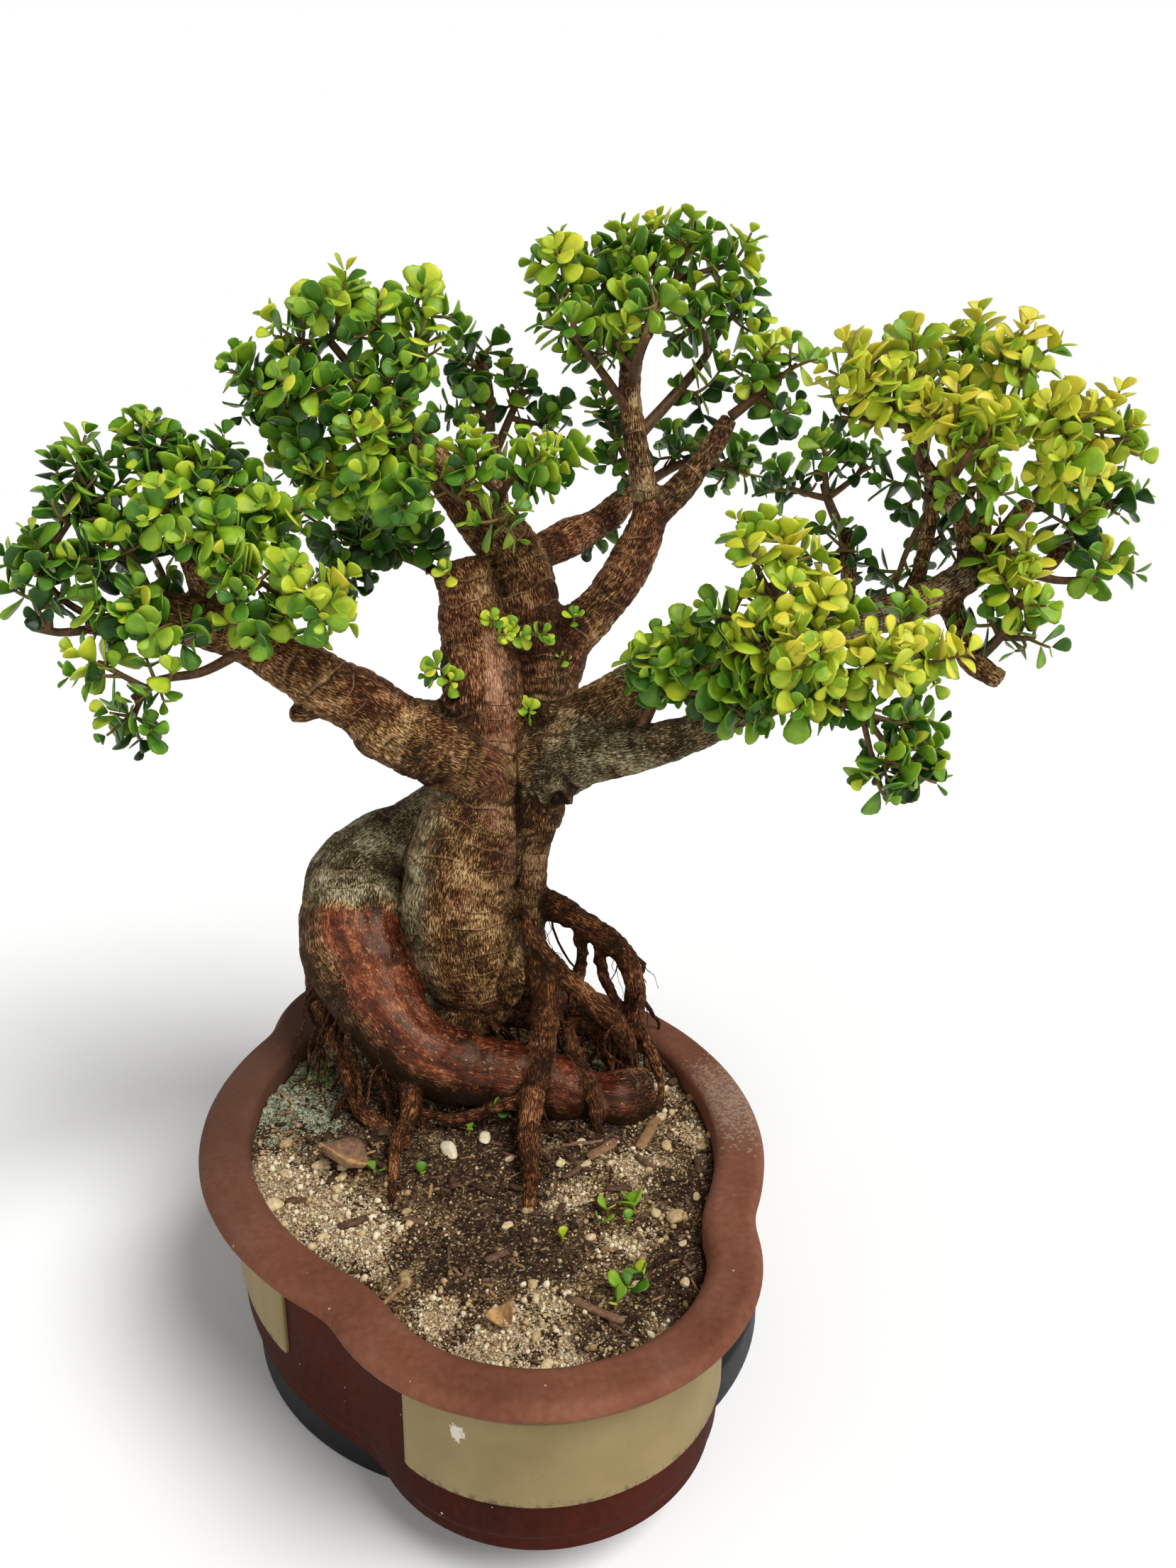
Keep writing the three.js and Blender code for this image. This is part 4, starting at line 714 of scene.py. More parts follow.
def living_bark(add):
    """Thin living bark: tan and corky on the trunk, ruddy on younger limbs, olive-grey with lichen
    on the coil's top, red-brown with a thin polish where the coil's skin is smooth, dark and flaky
    on roots and pinkish where it has peeled. Flecks run with the limb, cracks along it and thin
    old leaf rings across it. Its patterns follow bark_place, the place in millimetres beside and
    along the limb."""
    place = add("ShaderNodeAttribute", output="Vector", attribute_name="bark_place")
    flecks, tone = bark_tone(add, place)
    long = add(MAPPING, {"Vector": place, "Scale": (0.24, 0.24, 0.035)})
    cracks = add(NOISE, {"Vector": long, "Scale": 1.0, "Detail": 3.0, "Roughness": 0.6})
    streaks = add(MATH, {0: cracks, 1: 0.35, 2: tone}, **TIMES_PLUS)
    streaks = add(MATH, {0: streaks, 1: 1.35}, operation="DIVIDE")
    ragged = add(NOISE, {"Vector": place, "Scale": 0.25, "Detail": 4.0, "Roughness": 0.65})
    shade = add(RAMP, {0: tone}, stops=list(zip(bark_steps, bark_tan)))
    for zone, colours in bark_shades.items():
        share = add(**ATTRIBUTE, attribute_name=zone)
        edge = add(MATH, {0: ragged, 1: 1.0, 2: share}, **TIMES_PLUS)
        zoned = add(RANGE, {0: edge, 1: 0.85, 2: 1.15})
        pattern = streaks if zone == "bark_gloss" else tone
        kind = add(RAMP, {0: pattern}, stops=list(zip(bark_steps, colours)))
        shade = add(MIX, {0: zoned, 6: shade, 7: kind}, **COLOUR)
    away = add(MATH, {0: cracks, 1: 0.5}, operation="SUBTRACT")
    away = add(MATH, {0: away}, operation="ABSOLUTE")
    gloss = add(**ATTRIBUTE, attribute_name="bark_gloss")
    rooty = add(**ATTRIBUTE, attribute_name="bark_root")
    crease_shade = add(**ATTRIBUTE, attribute_name="bark_painted_shade")
    opening = add(RANGE, {0: gloss, 1: 0.0, 2: 0.6, 3: 0.55, 4: 0.15})
    opening = add(MATH, {0: rooty, 1: 0.3, 2: opening}, **TIMES_PLUS)
    crack = add(RANGE, {0: away, 1: 0.0, 2: 0.035, 3: opening, 4: 0.0})
    line, lip = leaf_rings(add, place)
    unringed = add(MATH, {0: gloss, 1: rooty}, operation="MAXIMUM")
    plain = add(RANGE, {0: unringed, 1: 0.0, 2: 0.7, 3: 1.0, 4: 0.2})
    line = add(MATH, {0: line, 1: plain}, **TIMES)
    lip = add(MATH, {0: lip, 1: plain}, **TIMES)
    pale = add(MATH, {0: lip, 1: 0.34}, **TIMES)
    # The rings' dark line is partly painted shadow under the pale lip.
    dark = add(MATH, {0: line, 1: 0.85}, **TIMES)
    dashes = add(MAPPING, {"Vector": place, "Scale": (0.5, 0.5, 0.28)})
    dashes = add(NOISE, {"Vector": dashes, "Scale": 1.0, "Detail": 3.0, "Roughness": 0.6})
    dash = add(RANGE, {0: dashes, 1: 0.61, 2: 0.67, 3: 0.0, 4: 0.6})
    dash = add(MATH, {0: dash, 1: gloss}, **TIMES)
    # The last mark is painted shade, near black in creases, hollows, knot grooves and under the coil.
    marks = [
        (crack, "#180d07"), (pale, "#b5946a"), (dark, "#1b0f08"), (dash, "#b98e60"), (crease_shade, "#120a05"),
    ]
    for share, colour in marks:
        shade = add(MIX, {0: share, 6: shade, 7: colour}, **COLOUR)
    rough = add(RANGE, {0: gloss, 1: 0.2, 2: 1.0, 3: 0.8, 4: 0.4})
    height = add(MATH, {0: crack, 1: -0.35, 2: flecks}, **TIMES_PLUS)
    height = add(MATH, {0: line, 1: -0.4, 2: height}, **TIMES_PLUS)
    height = add(MATH, {0: lip, 1: 0.15, 2: height}, **TIMES_PLUS)
    depth = add(RANGE, {0: gloss, 1: 0.1, 2: 0.7, 3: 1.0, 4: 0.3})
    relief = add(BUMP, {"Height": height, "Distance": 1.1 * MM, "Strength": depth})
    polish = add(MATH, {0: gloss, 1: 0.1}, **TIMES)
    return add(PRINCIPLED, {
        "Base Color": shade, "Roughness": rough, "Normal": relief, "IOR": 1.48,
        "Specular IOR Level": 0.36, "Specular Tint": "#ffd0a8", "Coat Weight": polish,
        "Coat Roughness": 0.36,
    })


def waxy_leaf(add):
    """A succulent leaf under a thin wax: deep green, through lime, to the gold it turns in the sun, with
    its darker greens partly painted shade for leaves deep in the crown and behind it, a blush on some, a
    paler, light-catching margin and a soft satin gloss."""
    place = add(**OBJECT_PLACE)
    sun_tint_and_shade = add(**ATTRIBUTE, attribute_name="leaf_sun_tint_and_shade")
    edge = add(**ATTRIBUTE, attribute_name="leaf_edge")
    mottle = add(NOISE, {"Vector": place, "Scale": per(7), "Detail": 3.0})
    shift = add(RANGE, {0: mottle, 1: 0.25, 2: 0.75, 3: -0.1, 4: 0.1})
    leaf_tone = add(MATH, {0: sun_tint_and_shade, 1: shift}, operation="ADD")
    # The dark end of this ramp is painted shade for leaves deep in the crown and behind it; the gold end
    # is the leaves' own sun tint.
    greens = [
        (0.0, "#14320c"), (0.2, "#275210"), (0.4, "#4d7d17"), (0.6, "#82a522"), (0.78, "#acbc2b"),
        (0.93, "#c8ca38"), (1.0, "#d2c63c"),
    ]
    flesh = add(RAMP, {0: leaf_tone}, stops=greens)
    margin = add(RANGE, {0: edge, 1: 0.65, 2: 1.0, 3: 0.0, 4: 0.4})
    flesh = add(MIX, {0: margin, 6: flesh, 7: "#a9c544"}, **COLOUR)
    grain = add(NOISE, {"Vector": place, "Scale": per(1.2), "Detail": 2.0})
    relief = add(BUMP, {"Height": grain, "Distance": 0.12 * MM, "Strength": 0.35})
    return add(PRINCIPLED, {
        "Base Color": flesh, "Roughness": 0.42, "IOR": 1.45, "Specular IOR Level": 0.38,
        "Normal": relief,
    })


def young_stem(add):
    """The skin of young shoots: red-brown and smooth, greener towards the tip."""
    place = add(**OBJECT_PLACE)
    youth = add(**ATTRIBUTE, attribute_name="stem_youth")
    spots = add(NOISE, {"Vector": place, "Scale": per(3), "Detail": 4.0})
    skin_tone = add(RAMP, {0: spots}, stops=[(0.35, "#2e180e"), (0.7, "#69402a")])
    shade = add(MIX, {0: youth, 6: skin_tone, 7: "#8a7a3c"}, **COLOUR)
    relief = add(BUMP, {"Height": spots, "Distance": 0.3 * MM, "Strength": 0.6})
    values = {"Base Color": shade, "Roughness": 0.55, "Normal": relief, "Specular IOR Level": 0.3}
    return add(PRINCIPLED, values)


def potting_soil(add):
    """A bed of pumice, sand and peat: grains of 1 mm with some of 3 mm among them, straw-coloured
    on the sand, brown and mixed elsewhere, fine dark humus where leaves have rotted, and
    grey-green algae in the damp corner with a tuft of moss in it. One kind thins out into the
    next grain by grain."""
    place = add(**OBJECT_PLACE)
    cells = {"Vector": place, "Scale": per(1.15)}
    tones = add(CHANNELS, {0: add(VORONOI, cells, "Color")})
    gap = add(VORONOI, cells, "Distance")
    crumbs = {"Vector": place, "Scale": per(3.2)}
    crumb = add(CHANNELS, {0: add(VORONOI, crumbs, "Color")})
    fibre = add(NOISE, {"Vector": place, "Scale": per(3), "Detail": 6.0, "Roughness": 0.72})
    drift = add(NOISE, {"Vector": place, "Scale": per(20), "Detail": 5.0, "Roughness": 0.65})
    mixed = add(MATH, {0: crumb, 1: 0.45, 2: tones}, **TIMES_PLUS)
    mixed = add(MATH, {0: drift, 1: 1.3, 2: mixed}, **TIMES_PLUS)
    mixed = add(MATH, {0: mixed, 1: 2.75}, operation="DIVIDE")
    brown = [(0.28, "#251810"), (0.43, "#523b27"), (0.56, "#876a49"), (0.7, "#bd9f74"), (0.82, "#e0cca4")]
    brown = add(RAMP, {0: mixed}, stops=brown)
    pale = [(0.0, "#7a5c3e"), (0.2, "#b09270"), (0.55, "#d2b68e"), (0.85, "#e6d0aa"), (1.0, "#f6ecd4")]
    pale = add(RAMP, {0: tones}, stops=pale)
    humus = add(RAMP, {0: fibre}, stops=[(0.36, "#1a1009"), (0.5, "#3f2a1d"), (0.66, "#7a5d44")])
    speck = add(RANGE, {0: tones, 1: 0.84, 2: 0.9})
    humus = add(MIX, {0: speck, 6: humus, 7: "#a98d66"}, **COLOUR)
    algae = add(RAMP, {0: mixed}, stops=[(0.3, "#4a4f36"), (0.5, "#a1a685"), (0.7, "#dde0c2")])
    moss = add(RAMP, {0: mixed}, stops=[(0.3, "#35501f"), (0.5, "#6f9344"), (0.7, "#a9c67c")])
    jitter = add(MATH, {0: tones, 1: drift}, operation="ADD")
    shade = brown
    layers = [
        ("soil_sand", pale, 0.92), ("soil_humus", humus, 0.95),
        ("soil_algae", algae, 0.85), ("soil_moss", moss, 0.8),
    ]
    for zone, kind, most in layers:
        share = add(**ATTRIBUTE, attribute_name=zone)
        edge = add(MATH, {0: jitter, 1: 0.7, 2: share}, **TIMES_PLUS)
        zoned = add(RANGE, {0: edge, 1: 1.0, 2: 1.3, 3: 0.0, 4: most})
        shade = add(MIX, {0: zoned, 6: shade, 7: kind}, **COLOUR)
    # Painted shade in the gaps between grains.
    deep = add(RANGE, {0: gap, 1: 0.45, 2: 0.85, 3: 0.0, 4: 0.7})
    shade = add(MIX, {0: deep, 6: shade, 7: "#1a100a"}, **COLOUR)
    round_top = add(RANGE, {0: gap, 1: 0.0, 2: 0.8, 3: 1.0, 4: 0.0})
    height = add(MATH, {0: fibre, 1: 1.6, 2: round_top}, **TIMES_PLUS)
    relief = add(BUMP, {"Height": height, "Distance": 1.1 * MM, "Strength": 0.9})
    values = {"Base Color": shade, "Roughness": 0.93, "Normal": relief, "Specular IOR Level": 0.15}
    return add(PRINCIPLED, values)


def loose_grain(add):
    """Pumice, sand and grit: matte and chalky, from near-white through straw to charcoal."""
    place = add(**OBJECT_PLACE)
    tone = add(**ATTRIBUTE, attribute_name="grain_tone")
    dirt = add(NOISE, {"Vector": place, "Scale": per(2), "Detail": 4.0})
    shift = add(RANGE, {0: dirt, 1: 0.3, 2: 0.7, 3: -0.12, 4: 0.12})
    tones = [(0.0, "#2b2119"), (0.25, "#5c452e"), (0.5, "#a0835a"), (0.8, "#cdb386"), (1.0, "#e4d8b9")]
    shade = add(RAMP, {0: add(MATH, {0: tone, 1: shift}, operation="ADD")}, stops=tones)
    relief = add(BUMP, {"Height": dirt, "Distance": 0.4 * MM, "Strength": 0.8})
    values = {"Base Color": shade, "Roughness": 0.9, "Normal": relief, "Specular IOR Level": 0.2}
    return add(PRINCIPLED, values)


def dry_litter(add):
    """Dead leaves, bark chips and twigs: weathered, fibrous and matte, from dark brown to a pale
    rust."""
    place = add(**OBJECT_PLACE)
    tone = add(**ATTRIBUTE, attribute_name="litter_tone")
    fibre = add(NOISE, {"Vector": place, "Scale": per(3), "Detail": 6.0, "Roughness": 0.65})
    shift = add(RANGE, {0: fibre, 1: 0.3, 2: 0.7, 3: -0.18, 4: 0.18})
    tones = [(0.0, "#1b110b"), (0.3, "#432c1b"), (0.55, "#6f5240"), (0.8, "#98744c"), (1.0, "#c49a64")]
    shade = add(RAMP, {0: add(MATH, {0: tone, 1: shift}, operation="ADD")}, stops=tones)
    relief = add(BUMP, {"Height": fibre, "Distance": 0.5 * MM, "Strength": 0.7})
    values = {"Base Color": shade, "Roughness": 0.82, "Normal": relief, "Specular IOR Level": 0.25}
    return add(PRINCIPLED, values)


# The pot and its stand


def lobe(reach, notch_across, notch_along):
    """Radius and middle of the arc that reaches that far out and goes through both notches."""
    bulge = reach - notch_along
    radius = (notch_across**2 + bulge**2) / (2 * bulge)
    return radius, reach - radius


end_radius, end_middle = lobe(end_reach, notch_x, notch_y)
side_radius, side_middle = lobe(side_reach, notch_y, notch_x)


def notch_middle():
    """Middle of the hollow arc that touches an end lobe and a side lobe from outside: where
    circles of their radii plus the notch's own meet."""
    from_end, from_side = end_radius + notch_round, side_radius + notch_round
    apart = np.hypot(side_middle, end_middle)
    foot = (from_end**2 - from_side**2 + apart**2) / (2 * apart)
    rise = np.sqrt(from_end**2 - foot**2)
    across, along = side_middle / apart, end_middle / apart
    return across * foot + along * rise, -end_middle + along * foot - across * rise


notch = notch_middle()
end_half_angle = np.arctan2(notch[0], -(notch[1] + end_middle))
side_half_angle = np.arctan2(-notch[1], notch[0] - side_middle)


def lobed_outline(inset, finer=1):
    """The pot's outline moved inwards: arcs of the end lobe, the notch and the side lobe for the
    quarter at +X, -Y, mirrored into all four."""
    end = np.linspace(0, end_half_angle, 20 * finer, endpoint=False)
    turn = np.linspace(end_half_angle, np.pi / 2 - side_half_angle, 10 * finer, endpoint=False)
    side = np.linspace(side_half_angle, 0, 24 * finer + 1)
    radius, hollow, wide = end_radius - inset, notch_round + inset, side_radius - inset
    x = [radius * np.sin(end), notch[0] - hollow * np.sin(turn), side_middle + wide * np.cos(side)]
    y = [-end_middle - radius * np.cos(end), notch[1] + hollow * np.cos(turn), -wide * np.sin(side)]
    quarter = np.stack([np.concatenate(x), np.concatenate(y)], axis=1)
    half = np.concatenate([quarter, quarter[-2::-1] * [1, -1]])
    return np.concatenate([half, half[-2:0:-1] * [-1, 1]])


def softened(corners, cut, steps=4, longest=9):
    """A profile with its corners rounded by quadratic curves that start and end at the cut
    distance from each, and its long straight parts divided."""
    corners = np.asarray(corners, float)
    rows = [corners[0]]
    for before, corner, after in zip(corners[:-2], corners[1:-1], corners[2:]):
        ahead, behind = np.linalg.norm(after - corner), np.linalg.norm(before - corner)
        reach = min(cut, 0.45 * ahead, 0.45 * behind)
        start = corner + (before - corner) / behind * reach
        end = corner + (after - corner) / ahead * reach
        t = np.linspace(0, 1, steps + 1)[:, None]
        rows.extend((1 - t) ** 2 * start + 2 * t * (1 - t) * corner + t**2 * end)
    rows = np.array([*rows, corners[-1]])
    spans = np.linalg.norm(np.diff(rows, axis=0), axis=1)
    parts = np.maximum(1, np.ceil(spans / longest)).astype(int)
    pieces = [a + (b - a) * np.arange(n)[:, None] / n for a, b, n in zip(rows[:-1], rows[1:], parts)]
    return np.concatenate([*pieces, rows[-1:]])


def pot_wall():
    """The lobed outline carried up the pot's profile of inset and height: foot, upright wall,
    flared lip, flat rim, inner wall and floor. It sways in by up to 0.8 mm, as hand-finished
    clay does."""
    profile = [
        (foot_inset + 12, 4), (foot_inset + 10, 0), (foot_inset, 0), (foot_inset, foot_height - 2),
        (wall_inset, foot_height + 1), (wall_inset, pot_height - 21), (9, pot_height - 13),
        (2, pot_height - 9), (0, pot_height - 5), (4, pot_height),
        (rim_width - 4, pot_height), (inner_inset, pot_height - 4), (inner_inset, pot_floor),
    ]
    rows = softened(profile, 3.5)
    rings = []
    for inset, z in rows:
        ring = np.full((len(lobed_outline(0)), 3), pot_base + z)
        ring[:, :2] = lobed_outline(inset)
        rings.append(ring)
    rings = np.array(rings)
    flat = rings.reshape(-1, 3)
    sway = 0.5 * noise(flat, 70, 1) + 0.3 * noise(flat, 24, 2) - 0.8
    inwards = -unit(flat * [1, 1, 0])
    lifted = flat[:, 2] > pot_base + 1
    flat = flat - (inwards * sway[:, None]) * lifted[:, None]
    first_pole, last_pole = [0, 0, pot_base + 4], [0, 0, pot_base + pot_floor]
    return skin(flat.reshape(rings.shape), first_pole, last_pole)


def drain_holes():
    """Two upright cylinders through the pot's bottom."""
    path = np.array([[0, 0, z, drain_radius] for z in (pot_base - 10, pot_base + 30)], float)
    return joined([tube(path + [0, y, 0, 0], 32) for y in (-drain_y, drain_y)])


def bored(made, cutters):
    """The piece less the cutters' solids."""
    tool = bpy.data.objects.new("cutter", mesh_of("cutter", *cutters))
    bpy.context.scene.collection.objects.link(tool)
    cut = made.modifiers.new("bore", "BOOLEAN")
    cut.operation = "DIFFERENCE"
    cut.solver = "EXACT"
    cut.object = tool
    depsgraph = bpy.context.evaluated_depsgraph_get()
    mesh = bpy.data.meshes.new_from_object(made.evaluated_get(depsgraph))
    made.modifiers.clear()
    made.data = mesh
    bpy.data.objects.remove(tool)


def band_on(radius, middle, half_angle, turn):
    """A pale band: a rectangle with rounded corners carried round the lobe's wall, and turned to
    its side of the pot. Its face stands a little proud and its back is sunk in the wall."""
    face = radius - wall_inset + band_relief
    back = face - band_relief - band_depth
    section = softened(
        [(back, band_low), (face, band_low), (face, band_high), (back, band_high)], 1.1, 3, 6
    )
    half = np.radians(half_angle)
    angles = np.linspace(-half, half, 60)
    ease = 0.5 * smoothstep(0, 0.02, half - np.abs(angles)) - 0.5
    reach = section[None, :, 0] + ease[:, None] * (section[None, :, 0] > face - 0.5)
    x, y = middle + reach * np.cos(angles[:, None]), reach * np.sin(angles[:, None])
    z = np.broadcast_to(pot_base + section[:, 1], x.shape)
    rings = np.stack([*swung(x, y, turn), z], axis=-1)
    return skin(rings[:, ::-1])


def stand_round():
    """A flat round stand: its edge profile turned about its axis."""
    profile = softened(
        [(60, 2), (stand_radius - 26, 2), (stand_radius - 24, 0), (stand_radius - 2, 0),
         (stand_radius, 2), (stand_radius, stand_height - 4), (stand_radius - 4, stand_height),
         (60, stand_height)],
        2,
    )
    angles = np.linspace(0, 2 * np.pi, 128, endpoint=False)
    x = profile[:, :1] * np.cos(angles) + stand_centre[0]
    y = profile[:, :1] * np.sin(angles) + stand_centre[1]
    rings = np.stack([x, y, np.broadcast_to(profile[:, 1:], x.shape)], axis=-1)
    return skin(rings)


# The soil

soil_inset = inner_inset + 0.3
humus_spots = [
    (-41, -115, 26), (-6, -118, 30), (-62, -100, 16), (20, -190, 22), (-28, -41, 36), (-60, -8, 30),
    (62, -172, 30), (86, -150, 24), (0, -60, 26), (96, -96, 22), (40, 20, 80), (-70, 40, 44),
    (-20, -90, 24), (110, -128, 18),
]
moss_spots = [(-87, 97, 17)]
algae_spots = [
    (-89, 137, 46), (-128, 73, 38), (-105, 58, 30), (-40, 190, 50), (60, 190, 40), (112, 42, 24),
]
sand_spots = [
    (-108, -50, 30), (-129, 0, 20), (-30, -176, 24), (-6, -156, 16), (30, -80, 20), (129, -48, 18),
    (98, -10, 20), (-120, -20, 28), (-82, -82, 26), (118, 10, 24), (-4, -205, 30), (-98, -66, 28),
    (-62, -150, 16), (70, -60, 16), (50, -130, 14), (-40, -195, 22), (38, -205, 20), (84, -76, 20),
]


def spots_at(points, spots):
    """How far a point is inside any of the round spots: 1 in the middle, falling to 0 at 1.3 radii,
    with ragged edges."""
    ragged = 0.45 * noise(points * [1, 1, 0], 16, 5) + 0.3 * noise(points * [1, 1, 0], 6, 6)
    share = np.zeros(len(points))
    for x, y, radius in spots:
        away = np.hypot(points[:, 0] - x, points[:, 1] - y) / radius + ragged
        share = np.maximum(share, 1 - smoothstep(0.3, 1.4, away))
    return share


def soil_height(x, y):
    """A low mound and ripples, and 2 mm crumbs on the humus."""
    flat = np.stack([x, y, 0 * x], axis=-1)
    mound = 3 * np.exp(-((x - 20) ** 2 + (y - 70) ** 2) / 90**2)
    ripples = 1.2 * np.sin(x / 15) * np.sin(y / 19 + 1) + 0.7 * np.sin(x / 7 + y / 11)
    lumps = 1.3 * noise(flat, 17, 7) + 0.7 * noise(flat, 7, 8)
    return soil_top + mound + ripples + lumps


def soil_at(x, y):
    """The soil's height at one place."""
    return soil_height(np.array([float(x)]), np.array([float(y)]))[0]


def soil_bed():
    """Rings of the pot's inner outline shrunk step by step towards the middle, at the soil's
    height, over one ring at the floor."""
    outline = lobed_outline(soil_inset, 2)
    shares = np.linspace(1, 0.012, 84)[:, None, None]
    flat = outline[None] * shares
    x, y = flat[..., 0].ravel(), flat[..., 1].ravel()
    places = np.stack([x, y, 0 * x], axis=1)
    crumbs = 0.75 * noise(places, 3.1, 9) + 0.45 * noise(places, 1.7, 10)
    rough = 0.35 + 0.9 * spots_at(places, humus_spots) + 2.2 * spots_at(places, algae_spots)
    heights = (soil_height(x, y) + crumbs * rough).reshape(flat.shape[:2])
    heights[0] -= 2
    floor = np.full((1, len(outline), 3), pot_base + pot_floor + 0.3)
    floor[0, :, :2] = outline
    rings = np.concatenate([floor, np.concatenate([flat, heights[..., None]], axis=-1)])
    return skin(rings)


def base_grain():
    """The twelve corners and twenty faces of an icosahedron of radius 1."""
    g = (1 + 5**0.5) / 2
    corners = np.array([
        (-1, g, 0), (1, g, 0), (-1, -g, 0), (1, -g, 0), (0, -1, g), (0, 1, g),
        (0, -1, -g), (0, 1, -g), (g, 0, -1), (g, 0, 1), (-g, 0, -1), (-g, 0, 1),
    ])
    faces = np.array([
        (0, 11, 5), (0, 5, 1), (0, 1, 7), (0, 7, 10), (0, 10, 11), (1, 5, 9), (5, 11, 4),
        (11, 10, 2), (10, 7, 6), (7, 1, 8), (3, 9, 4), (3, 4, 2), (3, 2, 6), (3, 6, 8),
        (3, 8, 9), (4, 9, 5), (2, 4, 11), (6, 2, 10), (8, 6, 7), (9, 8, 1),
    ])
    return unit(corners), faces


def turned(random, count):
    """Random turns as 3 x 3 matrices, from normalised quaternions."""
    w, x, y, z = unit(random.normal(size=(count, 4))).T
    return np.array([
        [1 - 2 * (y * y + z * z), 2 * (x * y - w * z), 2 * (x * z + w * y)],
        [2 * (x * y + w * z), 1 - 2 * (x * x + z * z), 2 * (y * z - w * x)],
        [2 * (x * z - w * y), 2 * (y * z + w * x), 1 - 2 * (x * x + y * y)],
    ]).transpose(2, 0, 1)


def copies(points, faces):
    """Faces of one shape for every copy of its points, which are copies x points x 3."""
    count, size = points.shape[:2]
    offsets = (np.arange(count) * size)[:, None, None]
    groups = [(group[None] + offsets).reshape(-1, group.shape[1]) for group in faces]
    return points.reshape(-1, 3), groups


def inside_pot(x, y, inset):
    """Whether a place is inside the outline at that inset: in one of the four lobes' circles or
    in the middle rectangle, and outside the notch circles."""
    radius, wide = end_radius - inset, side_radius - inset
    in_end = np.hypot(x, np.abs(y) - end_middle) < radius
    in_side = np.hypot(np.abs(x) - side_middle, y) < wide
    across, along = notch
    in_notch = np.hypot(np.abs(x) - across, np.abs(y) + along) < notch_round + inset
    return (in_end | (in_side & (np.abs(y) < -along))) & ~in_notch


grain_count = 6400


def grit():
    """Grains of pumice and sand lying on the soil: icosahedra stretched and turned at random,
    crowded on the sand and sparse on the humus."""
    random = np.random.default_rng(11)
    places = random.uniform((-150, -220), (150, 220), (60000, 2))
    flat = np.concatenate([places, np.zeros((len(places), 1))], axis=1)
    sandy = spots_at(flat, sand_spots)
    dark = spots_at(flat, humus_spots)
    green = spots_at(flat, algae_spots)
    chance = 0.15 + 0.42 * sandy - 0.13 * dark - 0.02 * green
    front = np.where(places[:, 1] < 60, 1.0, 0.55)
    keep = inside_pot(*places.T, soil_inset + 3) & (random.random(len(places)) < chance * front)
    places, sandy, dark = (values[keep][:grain_count] for values in (places, sandy, dark))
    count = len(places)
    sizes = np.clip(random.lognormal(-0.28, 0.5, count), 0.4, 2.9)
    corners, faces = base_grain()
    shape = corners[None] * random.uniform(0.62, 1.15, (count, len(corners), 1))
    shape = shape * random.uniform(0.6, 1.2, (count, 1, 3)) * sizes[:, None, None]
    shape = shape @ turned(random, count)
    height = soil_height(*places.T) + 0.35 * sizes
    shape = shape + np.concatenate([places, height[:, None]], axis=1)[:, None]
    tone = np.clip(random.normal(0.66, 0.24, count) + 0.2 * sandy - 0.3 * dark, 0.02, 1)
    points, groups = copies(shape, [faces])
    return points, groups, np.repeat(tone, len(corners))


# The wood

ring_gap, fold_gap = 9.5, 6.6
wood_voxel, joint_steps = 2.1, 14

# Where limbs start deep in the trunk, so that they leave it without a lip.

grown_from = {
    "left": (20, 84, 284, 15), "right_low": (36, 84, 282, 13), "right": (36, 86, 288, 14),
    "leader": (40, 88, 286, 16), "stump": (24, 80, 296, 20),
}


def limb_path(name):
    """The limb's fine path. A root goes on into the soil, bending down."""
    points = limbs[name]
    if name in grown_from:
        points = [grown_from[name], *points]
    if name in roots_in_soil:
        x, y, z, radius = points[-1]
        before = points[-2]
        run = (x + 0.3 * (x - before[0]), y + 0.3 * (y - before[1]))
        points = [*points, (*run, z - root_depth, 0.8 * radius)]
    return smooth_path(points, path_step)


def knobbly(path, index):
    """The path with a radius that swells and shrinks by a few percent along it."""
    along = np.arange(len(path)) * path_step
    places = np.stack([along, np.full(len(path), 40.0 * index), 0 * along], axis=1)
    swell = 1 + 0.05 * noise(places, 21, 3) + 0.03 * noise(places, 9, 4)
    return path * np.stack([np.ones(len(path))] * 3 + [swell], axis=1)


def fused_wood():
    """All limbs as tubes, joined where they cross by a voxel remesh, and smoothed by one step in
    and one step out so that joints fill in and the limbs keep their thickness."""
    tubes = []
    for index, name in enumerate(limbs):
        path = knobbly(limb_path(name), index)
        tubes.append(tube(path, 28 if path[:, 3].max() > 12 else 14))
    mesh = mesh_of("wood_rough", *joined(tubes))
    rough = bpy.data.objects.new("wood_rough", mesh)
    bpy.context.scene.collection.objects.link(rough)
    remesh = rough.modifiers.new("fuse", "REMESH")
    remesh.mode = "VOXEL"
    remesh.voxel_size = wood_voxel * MM
    depsgraph = bpy.context.evaluated_depsgraph_get()
    fused = bpy.data.meshes.new_from_object(rough.evaluated_get(depsgraph))
    bpy.data.objects.remove(rough)
    points = np.empty(3 * len(fused.vertices), np.float32)
    fused.vertices.foreach_get("co", points)
    corners = np.empty(len(fused.loops), np.int32)
    fused.loops.foreach_get("vertex_index", corners)
    edges = np.empty(2 * len(fused.edges), np.int32)
    fused.edges.foreach_get("vertices", edges)
    points = points.reshape(-1, 3).astype(float) / MM
    squares = corners.reshape(-1, 4)
    edges = edges.reshape(-1, 2)
    for factor in (0.55, -0.57) * 5:
        points = relaxed(points, edges, factor)
    _, _, radius, _, second = limb_places(points)
    joint = (0.5 * smoothstep(1.45, 1.05, second) * smoothstep(7, 14, radius))[:, None]
    for _ in range(joint_steps):
        points = relaxed(points, edges, joint)
    return points, squares, edges


